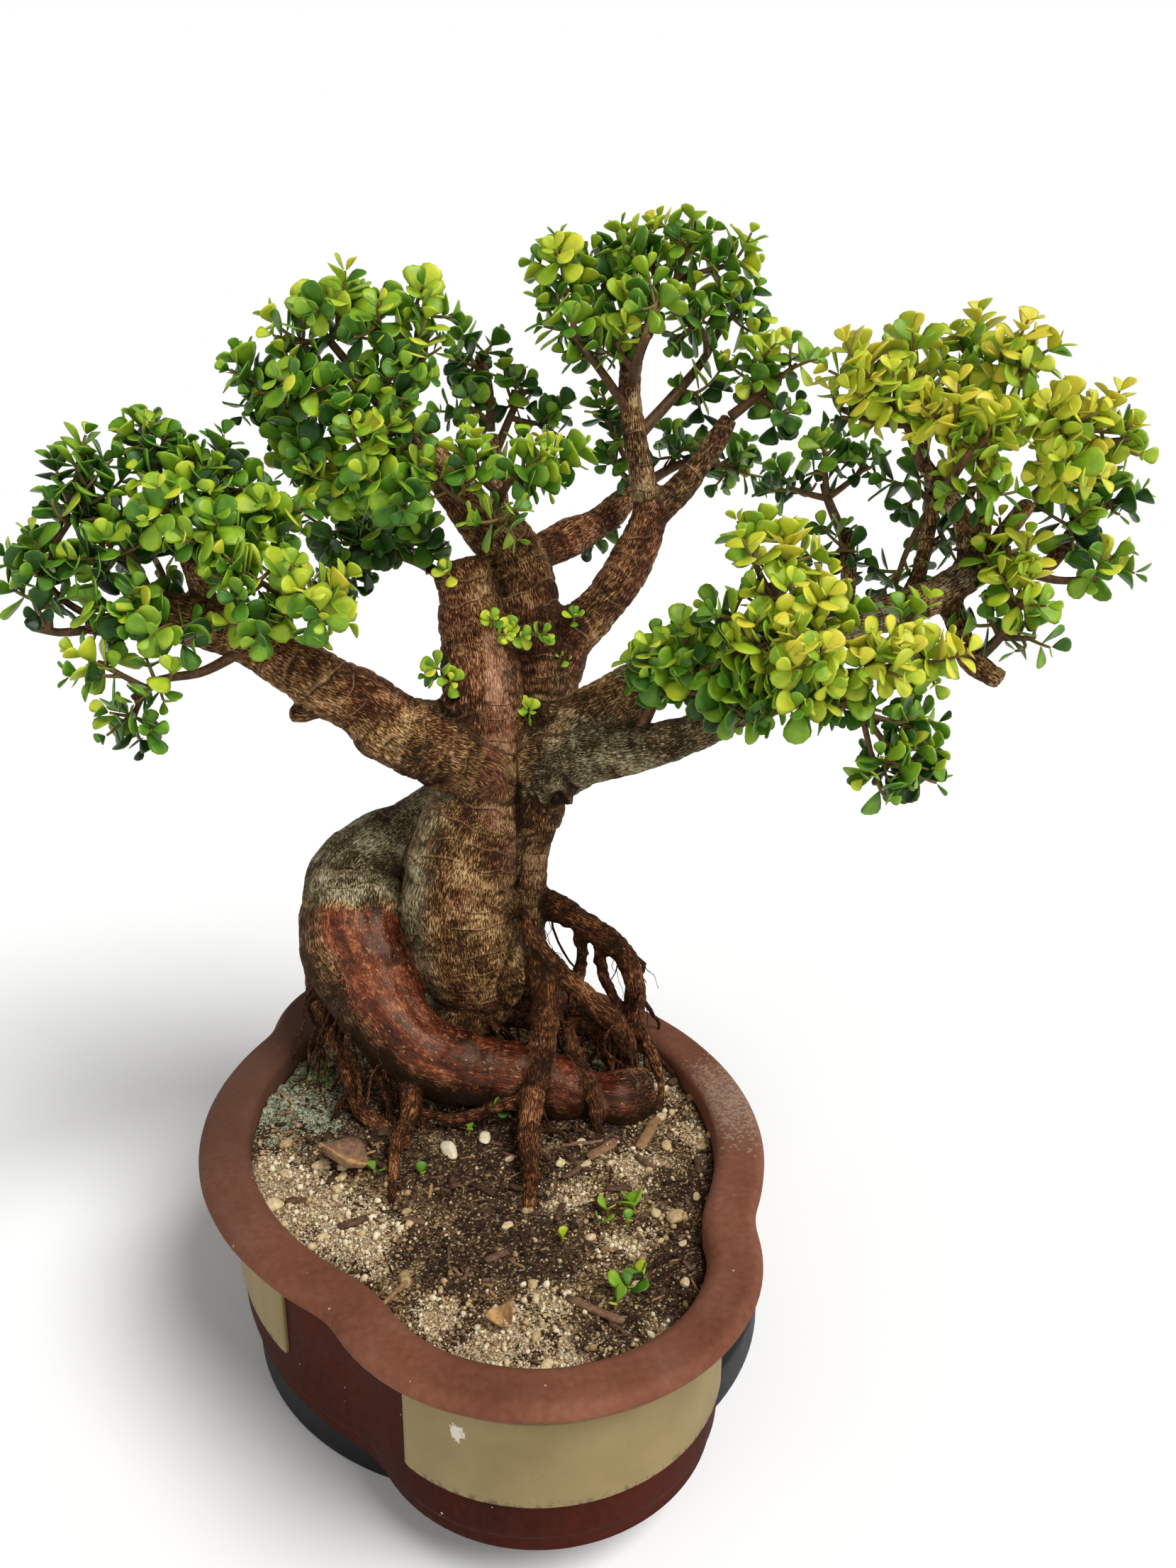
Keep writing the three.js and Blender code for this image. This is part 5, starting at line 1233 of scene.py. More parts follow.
def neighbour_mean(values, edges):
    """The mean of each point's neighbours' values."""
    counts = np.bincount(edges.ravel(), minlength=len(values))
    flat = values.reshape(len(values), -1)
    total = np.stack([
        np.bincount(edges[:, 0], column[edges[:, 1]], len(flat))
        + np.bincount(edges[:, 1], column[edges[:, 0]], len(flat))
        for column in flat.T
    ], axis=1)
    return (total / counts[:, None]).reshape(values.shape)


def relaxed(points, edges, factor):
    """Points moved by the factor towards the mean of their neighbours."""
    return points + factor * (neighbour_mean(points, edges) - points)


def limb_places(points):
    """For each point the limb it belongs to, the one whose axis is nearest in units of its own
    radius, and its place there: millimetres to the side, up and along, the radius, and how
    nearly a second limb shares it."""
    count = len(points)
    best, second = np.full(count, 1e9), np.full(count, 1e9)
    owner = np.zeros(count, int)
    local = np.zeros((count, 3))
    radius = np.ones(count)
    for index, name in enumerate(limbs):
        path = limb_path(name)
        centres, radii = path[:, :3], path[:, 3]
        tangents, sides, ups = carried_frames(centres)
        reach = radii.max() * 1.9 + 4
        near = np.flatnonzero(
            ((points > centres.min(axis=0) - reach) & (points < centres.max(axis=0) + reach)).all(axis=1)
        )
        if not len(near):
            continue
        squared = (
            (points[near] ** 2).sum(axis=1)[:, None]
            - 2 * points[near] @ centres.T
            + (centres**2).sum(axis=1)[None]
        )
        share = np.sqrt(np.maximum(squared, 0)) / radii
        closest = share.argmin(axis=1)
        found = share[np.arange(len(near)), closest]
        offset = points[near] - centres[closest]
        place = np.stack([
            (offset * sides[closest]).sum(axis=1),
            (offset * ups[closest]).sum(axis=1),
            path_step * closest + (offset * tangents[closest]).sum(axis=1),
        ], axis=1)
        better = found < best[near]
        second[near] = np.where(better, best[near], np.minimum(second[near], found))
        won = near[better]
        best[won] = found[better]
        owner[won] = index
        local[won] = place[better]
        radius[won] = radii[closest[better]]
    return owner, local, radius, best, second


limb_number = {name: number for number, name in enumerate(limbs)}
root_numbers = [number for name, number in limb_number.items() if name.startswith("root")]


def weathered_wood():
    """The fused wood pushed out and in along its normals: broad lumps, flutes along the limb, ring
    scars across it every 7 to 12 mm, fine wrinkles on the leader, pits and knobs, and rough
    roots."""
    points, squares, edges = fused_wood()
    normals = point_normals(points, squares)
    owner, local, radius, best, second = limb_places(points)
    shifted = local + owner[:, None] * np.array([37.0, 53.0, 211.0])
    along = shifted[:, 2]
    is_root = np.isin(owner, root_numbers)
    thick = smoothstep(5, 20, radius)
    lumps = 1.9 * noise(points, 34, 20) * thick + 0.9 * noise(points, 13, 21) * (0.35 + 0.65 * thick)
    flutes = noise(shifted * [0.16, 0.16, 0.012], 1, 22)
    grain = noise(shifted * [0.42, 0.42, 0.05], 1, 23)
    bow = 3.0 * noise(points, 22, 24)
    drift = noise(np.stack([along * 0, along, along * 0], axis=1), 31, 25)
    ring = np.sin((along + bow) * 2 * np.pi / ring_gap + 4 * drift)
    scars = -smoothstep(0.55, 1.0, ring)
    wrinkled = (owner == limb_number["leader"]) & (points[:, 2] < 430)
    folds = np.sin((along + 0.6 * bow) * 2 * np.pi / fold_gap)
    rough = noise(points, 3.4, 26)
    pits = -smoothstep(0.45, 0.8, noise(points, 8, 27))
    push = lumps
    push += flutes * (0.25 + 0.75 * thick)
    push += 0.35 * grain * (0.4 + 0.6 * thick)
    is_coil = owner == limb_number["coil"]
    push += 0.75 * scars * (0.4 + 0.6 * thick) * ~is_root * np.where(is_coil, 0.3, 1.0)
    push += 0.9 * folds * wrinkled
    push += rough * np.where(is_root, 1.2, 0.3)
    push += pits * np.where(is_root, 0.2, 0.5)
    for x, y, z, size, rise in knobs:
        away = np.linalg.norm(points - [x, y, z], axis=1) / size
        push += rise * (1 - smoothstep(0.2, 1.0, away)) * (1 + 0.4 * noise(points, 5, 28))
        push += 0.6 * np.cos(away * 14) * (away < 1.1)
    for x, y, z, across, high in hollows:
        away = np.linalg.norm((points - [x, y, z]) / [across, across, high], axis=1)
        push += 3.5 * np.exp(-(((away - 1.0) / 0.25) ** 2)) - 8 * smoothstep(0.8, 0.1, away)
    pressed = seam_share(points)
    push -= 3.0 * pressed
    # Painted shade where two limbs meet, along the seam and in the troughs of the leader's folds.
    crease_shade = smoothstep(1.9, 1.05, second) * smoothstep(0.9, 1.0, best) + 2.4 * pressed
    crease_shade += 1.3 * smoothstep(0.0, -0.9, folds) * wrinkled
    points = points + normals * push[:, None]
    smooth_base = relaxed(relaxed(points, edges, 1.0), edges, 1.0)
    hollow = ((smooth_base - points) * normals).sum(axis=1)
    zones = wood_zones(points, normals, owner, local[:, 2], hollow, crease_shade, is_root)
    return points, [squares], {"bark_place": shifted, **zones}


def seam_share(points):
    """From 0 to 1 how near a point on the front is to a seam: exp(-(d / 2.2)^2) at d millimetres
    beside it."""
    share = np.zeros(len(points))
    for seam in seams:
        across, heights = np.array(seam, float).T
        middle = np.interp(points[:, 2], heights, across)
        inside = smoothstep(heights[0] - 6, heights[0], points[:, 2])
        inside = inside * smoothstep(heights[-1] + 6, heights[-1], points[:, 2])
        beside = points[:, 0] - middle
        share = np.maximum(share, inside * (points[:, 1] < 86) * np.exp(-((beside / 2.2) ** 2)))
    return share


def point_normals(points, squares):
    """The mean of the normals of the squares at each point."""
    a, b, c, d = (points[squares[:, k]] for k in range(4))
    across = np.cross(c - a, d - b)
    total = np.stack([
        sum(np.bincount(squares[:, k], column, len(points)) for k in range(4)) for column in across.T
    ], axis=1)
    return unit(total)


def wood_zones(points, normals, owner, along, hollow, crease_shade, is_root):
    """Where each kind of bark is, from 0 to 1: red and young, glossy, grey with lichen, which on the
    trunk's left face is partly painted shade, dark and rooty, pale and bare, and painted shade, dark in
    creases, hollows, knot grooves and under the coil. The gloss lies on the coil's upper front, and fades
    on its scaly far end."""
    z = points[:, 2]
    cloud = noise(points, 26, 30)
    ragged = 0.6 * cloud + 0.4 * noise(points, 6, 31)
    coil = owner == limb_number["coil"]
    old_top = smoothstep(133, 105, along + 16 * ragged) * coil
    facing = normals @ unit(np.array([0.66, -0.24, 0.7]))
    past_top = smoothstep(112, 132, along + 14 * ragged)
    scaly_end = smoothstep(84, 97, points[:, 0] + 5 * ragged)
    streak = smoothstep(-0.12, 0.3, facing + 0.3 * ragged) * past_top * coil
    streak *= 1 - 0.85 * scaly_end
    reddened = np.maximum(smoothstep(-0.35, 0.1, facing + 0.3 * ragged), 0.85 * smoothstep(200, 165, z))
    ruddy = 0.9 * coil * past_top * reddened
    for name, base in ruddy_limbs.items():
        ruddy = np.where(owner == limb_number[name], base + 0.35 * cloud, ruddy)
    ruddy = np.where(owner == limb_number["trunk"], 0.3 + 0.4 * cloud, ruddy)
    lichen = np.maximum(old_top * (0.85 + 0.2 * cloud), 0.1 + 0.25 * cloud)
    for name, base in grey_limbs.items():
        lichen = np.where(owner == limb_number[name], base + 0.35 * cloud, lichen)
    # The trunk's left face, away from the key light, is painted greyer: partly lichen and partly painted
    # shade.
    left_face = smoothstep(0.35, 0.9, -normals[:, 0]) * (owner == limb_number["trunk"])
    lichen = np.maximum(lichen, 0.65 * left_face + 0.2 * cloud)
    lichen = np.maximum(lichen, coil * (0.4 + 0.3 * cloud))
    lichen = lichen * ~is_root * (1 - streak)
    root = np.where(is_root, 0.95, 0.0)
    flaky = (1 - streak) * (1 - old_top) * (1 - 0.8 * scaly_end) * (0.5 + 0.45 * ragged)
    root = np.maximum(root, coil * flaky)
    low_trunk = (owner == limb_number["trunk"]) * smoothstep(190, 145, z) * (0.35 + 0.4 * ragged)
    root = np.maximum(root, low_trunk)
    bare = np.zeros(len(points))
    for x, y, z_from, z_to, half, share in bare_strips:
        side = np.hypot(points[:, 0] - x, points[:, 1] - y) + 5 * ragged
        beyond = np.maximum(z_from - z, z - z_to)
        peeled = smoothstep(1.3, 0.6, side / half) * smoothstep(6, -4, beyond + 6 * ragged)
        bare = np.maximum(bare, share * peeled)
    for name in ("left_cut", "crest_cut", "right_droop"):
        end = np.array(limbs[name][-1])
        away = np.linalg.norm(points - end[:3], axis=1) / end[3]
        bare = np.maximum(bare, 0.7 * (1 - smoothstep(0.7, 1.3, away)))
    # Painted shade on the coil where it faces down.
    coil_underside_shade = coil * smoothstep(0.45, -0.4, normals[:, 2])
    # Painted shade in hollows of the skin, where limbs meet and along seams and folds.
    crease_shades = 0.8 * smoothstep(0.2, 1.0, hollow) + 0.25 * crease_shade + 0.9 * coil_underside_shade
    # Painted shade in the knots' ring grooves and in a dark ring round each.
    for x, y, z_mid, size, rise in knobs:
        away = np.linalg.norm(points - [x, y, z_mid], axis=1) / size
        turns = 0.45 * smoothstep(-0.2, -0.9, np.cos(away * 14)) * (away < 1.1)
        crease_shades += (turns + 0.5 * np.exp(-(((away - 1.05) / 0.12) ** 2))) * (size >= 8) * (rise > 2)
    # Painted shade inside the hollows.
    for x, y, z_mid, across, high in hollows:
        away = np.linalg.norm((points - [x, y, z_mid]) / [across, across, high], axis=1)
        crease_shades += 0.9 * smoothstep(0.75, 0.3, away)
        bare = np.maximum(bare, 0.6 * np.exp(-(((away - 1.0) / 0.25) ** 2)))
    crease_shades = np.clip(crease_shades, 0, 0.92)
    return {
        "bark_ruddy": np.clip(ruddy, 0, 1),
        "bark_gloss": np.clip(streak, 0, 1),
        "bark_lichen": np.clip(lichen, 0, 1),
        "bark_root": np.clip(root, 0, 1),
        "bark_bare": bare,
        "bark_painted_shade": crease_shades,
    }


ruddy_limbs = {
    "left": 0.42, "leader": 0.45, "stump": 0.62, "right_back": 0.6, "top_riser": 0.45,
    "top_fork": 0.4, "leader_side": 0.6, "knob_right": 0.1, "right_low": 0.1, "right": 0.15,
    "hind": 0.55,
}
grey_limbs = {
    "right": 0.5, "right_low": 0.6, "top_riser": 0.5, "top_fork": 0.45, "right_riser_left": 0.5,
}

# Upright strips where the skin has peeled: x, y, lowest and highest z, half width and share.

bare_strips = [
    (29, 51, 352, 424, 9, 0.9), (24, 52, 300, 345, 9, 0.6), (28, 50, 235, 275, 10, 0.3),
    (5, 60, 360, 400, 8, 0.3),
]

# Seams where two stems have grown against each other: x and z from the lowest point up.

seams = [[(41, 236), (46, 252), (45, 266), (44, 281), (43, 302), (41, 326)]]

# Hollows where a branch died back, with a callus round them: x, y, z, half width and half height.

hollows = [(62, 38, 322, 8, 15), (4, 60, 388, 6, 9)]

# Knobs and healed cuts on the wood: x, y, z, size and rise.

knobs = [
    (59, 62, 372, 13, 4.0), (-17, 55, 344, 14, 3.5), (3, 62, 383, 12, 3.5), (56, 40, 330, 14, 4.0),
    (67, 36, 322, 9, 4.0), (-30, 52, 352, 13, 2.5), (-14, 60, 322, 12, -3.0), (58, 44, 322, 12, 3.0),
    (36, 60, 395, 10, 2.5), (10, 60, 420, 9, 2.0), (70, 75, 430, 9, 2.5),
    (-70, 95, 236, 12, -2.0), (-90, 80, 225, 9, 2.0), (-86, 100, 255, 7, 2.0),
    (46, 60, 194, 24, 8.0), (40, 58, 176, 18, 3.0), (3, 62, 383, 8, 2.5), (62, 52, 374, 9, 3.5),
]


# Foliage

leaf_length = 17.2
leaf_gap = 5.8
pair_spread = np.radians([44, 60, 70, 76, 80, 84, 86])
pair_size = np.array([0.56, 0.82, 0.98, 1.04, 1.04, 1.0, 0.95])
leaf_rows = np.array([0.04, 0.2, 0.42, 0.64, 0.83, 0.96])


def leaf_blades(foot, axis, face, length, sun_tint_and_shade, random):
    """Fleshy obovate leaves, as closed skins of six rings with six points each. A ring's half
    width is 0.42 length * 1.49 v^0.8 (1 - v^4.5)^0.5 at the share v of the length, and its two
    sides are lens halves, so the margin is blunt. The blade dishes across and arches back."""
    count = len(foot)
    across = np.cross(axis, face)
    cup = random.uniform(0.02, 0.16, count)
    arch = random.normal(0.05, 0.07, count)
    wide = random.uniform(0.37, 0.46, count)
    skew = random.normal(0, 0.05, count)
    thick = 0.055 * length + 0.35
    v = leaf_rows[None, :, None]
    half = 1.49 * v**0.8 * np.sqrt(1 - v**4.5)
    s = np.array([-1, -0.52, 0.52, 1, 0.52, -0.52])[None, None]
    side = np.array([0, 1, 1, 0, -1, -1])[None, None]
    scale = length[:, None, None]
    out = scale * (v - 0.03 * (s**2) * half)
    width = scale * (wide[:, None, None] * half * s + skew[:, None, None] * v**2)
    plump = thick[:, None, None] * (0.45 + 0.55 * np.sin(np.pi * v))
    bent = cup[:, None, None] * (s * half) ** 2 * 0.8 - arch[:, None, None] * v**2
    rise = side * plump * 0.55 + scale * bent
    body = (
        foot[:, None, None]
        + out[..., None] * axis[:, None, None]
        + width[..., None] * across[:, None, None]
        + rise[..., None] * face[:, None, None]
    )
    tip = foot + axis * length[:, None]
    tip = tip + (skew * length)[:, None] * across - (arch * length)[:, None] * face
    points = np.concatenate([body.reshape(count, -1, 3), foot[:, None], tip[:, None]], axis=1)
    _, blade_faces = skin(body[0])
    rim = (np.abs(s[0]) > 0.9) * np.array([0.3, 1, 1, 1, 1, 1])[:, None]
    rim[-1] = np.maximum(rim[-1], 0.6)
    rim = np.concatenate([rim.ravel(), [0.2, 1.0]])
    riper = np.concatenate([np.repeat(leaf_rows, s.size), [0, 1]]) * 0.1 - 0.05
    flesh = np.repeat(sun_tint_and_shade, points.shape[1]) + np.tile(riper, count)
    return (*copies(points, blade_faces), flesh, np.tile(rim, count))


def twigs(paths, sides):
    """Round closed skins along many short paths of x, y, z, radius."""
    centres, radii = paths[..., :3], paths[..., 3]
    tangents = unit(np.gradient(centres, axis=1))
    side = unit(np.cross(tangents, [0.37, 0.58, 0.72]))
    up = np.cross(tangents, side)
    angles = np.linspace(0, 2 * np.pi, sides, endpoint=False)[:, None]
    spokes = side[:, :, None] * np.cos(angles) + up[:, :, None] * np.sin(angles)
    rings = centres[:, :, None] + radii[:, :, None, None] * spokes
    count, rows = paths.shape[:2]
    points = np.concatenate([rings.reshape(count, -1, 3), centres[:, :1], centres[:, -1:]], axis=1)
    _, faces = skin(rings[0])
    return copies(points, faces)


def curved(start, middle, end, steps, thick, thin):
    """Quadratic curves (1-t)^2 a + 2t(1-t) b + t^2 c with a radius that tapers evenly."""
    t = np.linspace(0, 1, steps)[None, :, None]
    a, b, c = (point[:, None] for point in (start, middle, end))
    centres = (1 - t) ** 2 * a + 2 * t * (1 - t) * b + t**2 * c
    radii = np.broadcast_to(thick + (thin - thick) * t, (len(start), steps, 1))
    return np.concatenate([centres, radii], axis=2)


def pad_directions(count, random):
    """Directions spread evenly over a ball by the golden angle, turned at random and pushed a
    little from their places."""
    step = np.arange(count) + 0.5
    z = 1 - 2 * step / count
    turn = np.pi * (1 + 5**0.5) * step + random.uniform(0, 2 * np.pi)
    flat = np.sqrt(1 - z * z)
    even = np.stack([flat * np.cos(turn), flat * np.sin(turn), z], axis=1)
    return unit(even + random.normal(0, 0.22, (count, 3)))


def leafy_shoots(paths, sun_tint_and_shade, random, most=7, gap=leaf_gap):
    """Leaf pairs down each shoot from its tip, every pair a quarter turn from the last, smaller
    and more upright at the tip. Returns where each leaf starts, its axis, its upper face, its length, and
    its sun tint with painted shade."""
    centres = paths[..., :3]
    spans = np.linalg.norm(np.diff(centres, axis=1), axis=2)
    lengths = spans.sum(axis=1)
    travelled = np.concatenate([np.zeros((len(paths), 1)), np.cumsum(spans, axis=1)], axis=1)
    feet, axes, faces, sizes, tint_and_shade_values = [], [], [], [], []
    first_turn = random.uniform(0, np.pi, len(paths))
    for pair in range(most):
        back = 0.4 + gap * (pair + random.uniform(-0.12, 0.12, len(paths)))
        keep = np.flatnonzero(lengths - back > 3)
        if not len(keep):
            break
        place = (lengths - back)[keep]
        row = np.clip((travelled[keep] < place[:, None]).sum(axis=1) - 1, 0, centres.shape[1] - 2)
        t = (place - travelled[keep, row]) / spans[keep, row]
        foot = centres[keep, row] + (centres[keep, row + 1] - centres[keep, row]) * t[:, None]
        along = unit(centres[keep, row + 1] - centres[keep, row])
        side = unit(np.cross(along, [0.21, 0.34, 0.92]))
        up = np.cross(along, side)
        for half in (0, np.pi):
            turn = first_turn[keep] + pair * np.pi / 2 + half + random.normal(0, 0.22, len(keep))
            outward = side * np.cos(turn)[:, None] + up * np.sin(turn)[:, None]
            spread = pair_spread[pair] + random.normal(0, 0.17, len(keep))
            axis = outward * np.sin(spread)[:, None] + along * np.cos(spread)[:, None]
            axis = unit(axis + [0, 0, 0.16])
            face = unit(np.cross(np.cross(axis, along), axis) + [0, 0, 0.22])
            face = unit(face - axis * (face * axis).sum(axis=1, keepdims=True))
            size = leaf_length * pair_size[pair] * random.uniform(0.78, 1.14, len(keep))
            feet.append(foot + axis * 1.0)
            axes.append(axis)
            faces.append(face)
            sizes.append(size)
            tint_and_shade_values.append(sun_tint_and_shade[keep] + random.normal(0.05 - 0.03 * pair, 0.15, len(keep)))
    return [np.concatenate(values) for values in (feet, axes, faces, sizes, tint_and_shade_values)]


def spray(name, seed):
    """A leafy stem of the solids grown out in full: the stem, a branch to the middle of each pad
    and shoots from the branch to the pad's outside. Returns wood parts and leaf values."""
    random = np.random.default_rng(seed)
    stem = smooth_path(stems[name], 5)
    no_thinner = np.column_stack([stem[:, :3], np.maximum(stem[:, 3], least_stem)])
    wood_parts = [(*tube(no_thinner, 9), 0.1)]
    grown = []
    for x, y, z, wide, high, shoots, sun_tint_and_shade in pads[name]:
        middle = np.array([x, y, z], float)
        away = np.linalg.norm(stem[:, :3] - middle, axis=1)
        joint = stem[max(0, away.argmin() - 2)]
        radius = min(2.4, 0.85 * joint[3])
        bend = (joint[:3] + middle) / 2 + random.normal(0, 0.12, 3) * away.min()
        branch = curved(joint[None, :3], bend[None], middle[None], 7, radius, 1.5)
        if away.min() > 3:
            wood_parts.append((*twigs(branch, 7), 0.2))
        count = max(3, round(shoots * shoot_share))
        directions = pad_directions(count, random)
        directions[:, 2] += 0.08
        size = pad_growth * np.array([wide, wide, high])
        ends = middle + directions * size * random.uniform(0.62, 1.02, (count, 1))
        share = random.uniform(0.45, 1, count) if away.min() > 3 else np.ones(count)
        row = np.round(share * 6).astype(int)
        starts = branch[0, row, :3]
        bends = starts + (ends - starts) * 0.5 + random.normal(0, 2.2, (count, 3)) + [0, 0, -1.5]
        paths = curved(starts, bends, ends, 7, 1.25, 0.8)
        # Shoots that point up are made lighter and yellower: partly their sun tint, partly painted light
        # from above.
        sunny = 0.16 + 0.12 * sun_tint_and_shade + 0.6 * sun_tint_and_shade**1.5 + 0.18 * directions[:, 2]
        grown.append((paths, sunny + random.normal(0, 0.07, count)))
    paths = np.concatenate([paths for paths, _ in grown])
    sun_tint_and_shade = np.concatenate([values for _, values in grown])
    wood_parts.append((*twigs(paths, 5), 0.5))
    return wood_parts, leafy_shoots(paths, sun_tint_and_shade, random)


shoot_share, pad_growth, least_stem = 1.05, 1.12, 1.6
sides = ("left", "crest", "top", "right")
clusters = {side: [name for name in stems if name.startswith(side)] for side in sides}
clusters["inner"] = [name for name in stems if not name.startswith(sides)]


def crown_cluster(cluster, leaf_material, stem_material):
    """The leaves and the stems of one part of the crown, two pieces, drawn where its sprays in the solids
    were, which are hidden. Leaves that would reach out of the solids' box are left off."""
    wood_parts, leaf_values = [], []
    for name in clusters[cluster]:
        parts, values = spray(name, 100 + list(stems).index(name))
        wood_parts.extend(parts)
        leaf_values.append(values)
    random = np.random.default_rng(list(clusters).index(cluster))
    foot, axis, face, size, sun_tint_and_shade = (np.concatenate(values) for values in zip(*leaf_values))
    low, high = (np.array(corner) / MM for corner in cad_box)
    tips = foot + axis * size[:, None]
    fits = ((np.minimum(foot, tips) > low + 1) & (np.maximum(foot, tips) < high - 1)).all(axis=1)
    foot, axis, face, size, sun_tint_and_shade = (values[fits] for values in (foot, axis, face, size, sun_tint_and_shade))
    points, faces, flesh, rim = leaf_blades(foot, axis, face, size, sun_tint_and_shade, random)
    attributes = {"leaf_sun_tint_and_shade": flesh, "leaf_edge": rim}
    leaves = piece(f"leaves_{cluster}", points, faces, leaf_material, "leaf", attributes)
    wood_points, wood_faces = joined([(points, faces) for points, faces, _ in wood_parts])
    youth = np.concatenate([np.full(len(points), value) for points, _, value in wood_parts])
    attributes = {"stem_youth": youth}
    piece(f"stems_{cluster}", wood_points, wood_faces, stem_material, "bark", attributes)
    for name in clusters[cluster]:
        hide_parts(f"spray_{name}")


# Fine roots, litter and seedlings

# Where fine roots hang: the limb, the first and last share of its length, how many, how far they
# stray sideways in millimetres, and which way they lean.

root_sources = [
    ("root_arch", 0.3, 0.92, 14, 9, (0.1, -0.2)), ("root_slant", 0.15, 0.95, 10, 8, (0.2, -0.1)),
    ("root_long", 0.1, 0.75, 9, 8, (0.1, 0.1)), ("coil", 0.3, 0.6, 20, 9, (-0.6, -0.2)),
    ("coil", 0.62, 0.98, 16, 8, (0.1, 0.3)), ("hind", 0.55, 0.98, 10, 12, (0.5, -0.2)),
    ("root_left", 0.1, 0.9, 7, 8, (-0.2, 0.1)), ("root_under", 0.1, 0.9, 5, 6, (0, 0)),
    ("trunk", 0.0, 0.3, 10, 10, (0.5, -0.4)), ("root_fork", 0.2, 0.9, 5, 6, (0, 0)),
]


def hanging_roots(seed, share, radius, reach):
    """Thin paths from the skin of the old roots towards the soil: a straight line between both
    ends that sways by smooth noise, most in its middle, and tapers to half. Reach is how much of
    the way down they go."""
    random = np.random.default_rng(seed)
    starts, ends = [], []
    for name, first, last, count, stray, lean in root_sources:
        path = limb_path(name)
        count = max(1, round(count * share))
        rows = (random.uniform(first, last, count) * (len(path) - 1)).astype(int)
        outward = unit(np.stack([
            random.normal(lean[0], 0.6, count), random.normal(lean[1], 0.6, count),
            -np.abs(random.normal(0.4, 0.4, count)),
        ], axis=1))
        start = path[rows, :3] + outward * path[rows, 3:] * 0.8
        drop = np.maximum(start[:, 2] - soil_top + 3, 4) * random.uniform(*reach, count)
        shift = outward[:, :2] * drop[:, None] * 0.25 + random.normal(0, stray, (count, 2))
        starts.append(start)
        ends.append(start + np.concatenate([shift, -drop[:, None]], axis=1))
    starts, ends = np.concatenate(starts), np.concatenate(ends)
    t = np.linspace(0, 1, 15)[None, :, None]
    line = starts[:, None] + (ends - starts)[:, None] * np.concatenate([t**0.8, t**0.8, t], axis=2)
    flat = line.reshape(-1, 3) + np.repeat(np.arange(len(starts)) * 57.0, 15)[:, None]
    span = np.linalg.norm(ends - starts, axis=1)[:, None, None]
    sway = np.stack([noise(flat, 17, 50 + k) for k in range(3)], axis=1).reshape(line.shape)
    kinks = np.stack([noise(flat, 6, 54 + k) for k in range(3)], axis=1).reshape(line.shape)
    ease = np.minimum(1, 5 * t * (1.1 - t))
    line = line + ease * (sway * np.minimum(8, 0.22 * span) + kinks * 1.6)
    thick = random.uniform(*radius, (len(starts), 1, 1)) * (1 - 0.5 * t)
    swell = 1 + 0.3 * noise(flat, 3.5, 58).reshape(*line.shape[:2], 1)
    return np.concatenate([line, thick * swell], axis=2)


def slivers(places, turns, tilts, lengths, widths, thicks, random):
    """Split pieces of bark and wood: five rings of six points along each, half as wide as
    width * sin(pi v)^0.07 at the share v of its length, with ragged ends, laid at a turn about
    the upright and a tilt from level."""
    count = len(places)
    v = np.array([0.03, 0.25, 0.5, 0.75, 0.97])[None, :, None]
    a = np.radians([0, 55, 125, 180, 235, 305])[None, None]
    ragged = random.uniform(0.8, 1.2, (count, 5, 6))
    out = (v - 0.5) * lengths[:, None, None] * random.uniform(0.94, 1.06, (count, 5, 6))
    side = np.sin(np.pi * v) ** 0.07 * 0.5 * widths[:, None, None] * np.cos(a) * ragged
    rise = np.sin(np.pi * v) ** 0.07 * 0.5 * thicks[:, None, None] * np.sin(a) * ragged
    shape = np.stack([out, side, rise], axis=-1)
    ends = np.zeros((count, 2, 3))
    ends[:, 0, 0], ends[:, 1, 0] = -0.5 * lengths, 0.5 * lengths
    shape = np.concatenate([shape.reshape(count, 30, 3), ends], axis=1)
    x, z = swung(shape[..., 0], shape[..., 2], tilts[:, None])
    points = np.stack([*swung(x, shape[..., 1], turns[:, None]), z], axis=-1) + places[:, None]
    _, faces = skin(np.zeros((5, 6, 3)))
    return copies(points, faces)


# Larger chips and twigs: x, y, turn in degrees, length, width, thickness and tone.

chips = [
    (64, -46, 25, 26, 8, 2.5, 0.66), (97, -38, 50, 36, 8, 4, 0.72), (57, -36, -8, 32, 4, 2.5, 0.6),
    (-66, -22, 120, 14, 4, 3, 0.35), (-81, -133, 40, 27, 2.6, 2.6, 0.74), (14, -172, -50, 34, 5, 4, 0.6),
    (96, -130, 48, 40, 4, 3, 0.2), (-15, -62, -50, 16, 5, 3, 0.25), (8, -70, -40, 22, 4, 3, 0.3),
    (-30, -50, 80, 13, 5, 3, 0.3), (20, -97, 60, 15, 4, 3, 0.35), (-22, -118, 15, 14, 5, 3, 0.5),
    (60, -84, 160, 16, 5, 3, 0.4), (40, -62, 20, 18, 4, 3, 0.45), (84, -66, 110, 17, 5, 3, 0.5),
    (112, -80, 70, 18, 4, 3, 0.35), (-118, -36, -15, 12, 5, 3, 0.45), (-90, -66, 10, 18, 6, 3, 0.4),
    (-58, -76, 150, 12, 4, 2.5, 0.55), (44, -98, 95, 13, 4, 2.5, 0.3), (-96, -22, 60, 10, 4, 2, 0.3),
]

# Pebbles: x, y, size, how much longer than wide, turn in degrees and tone.

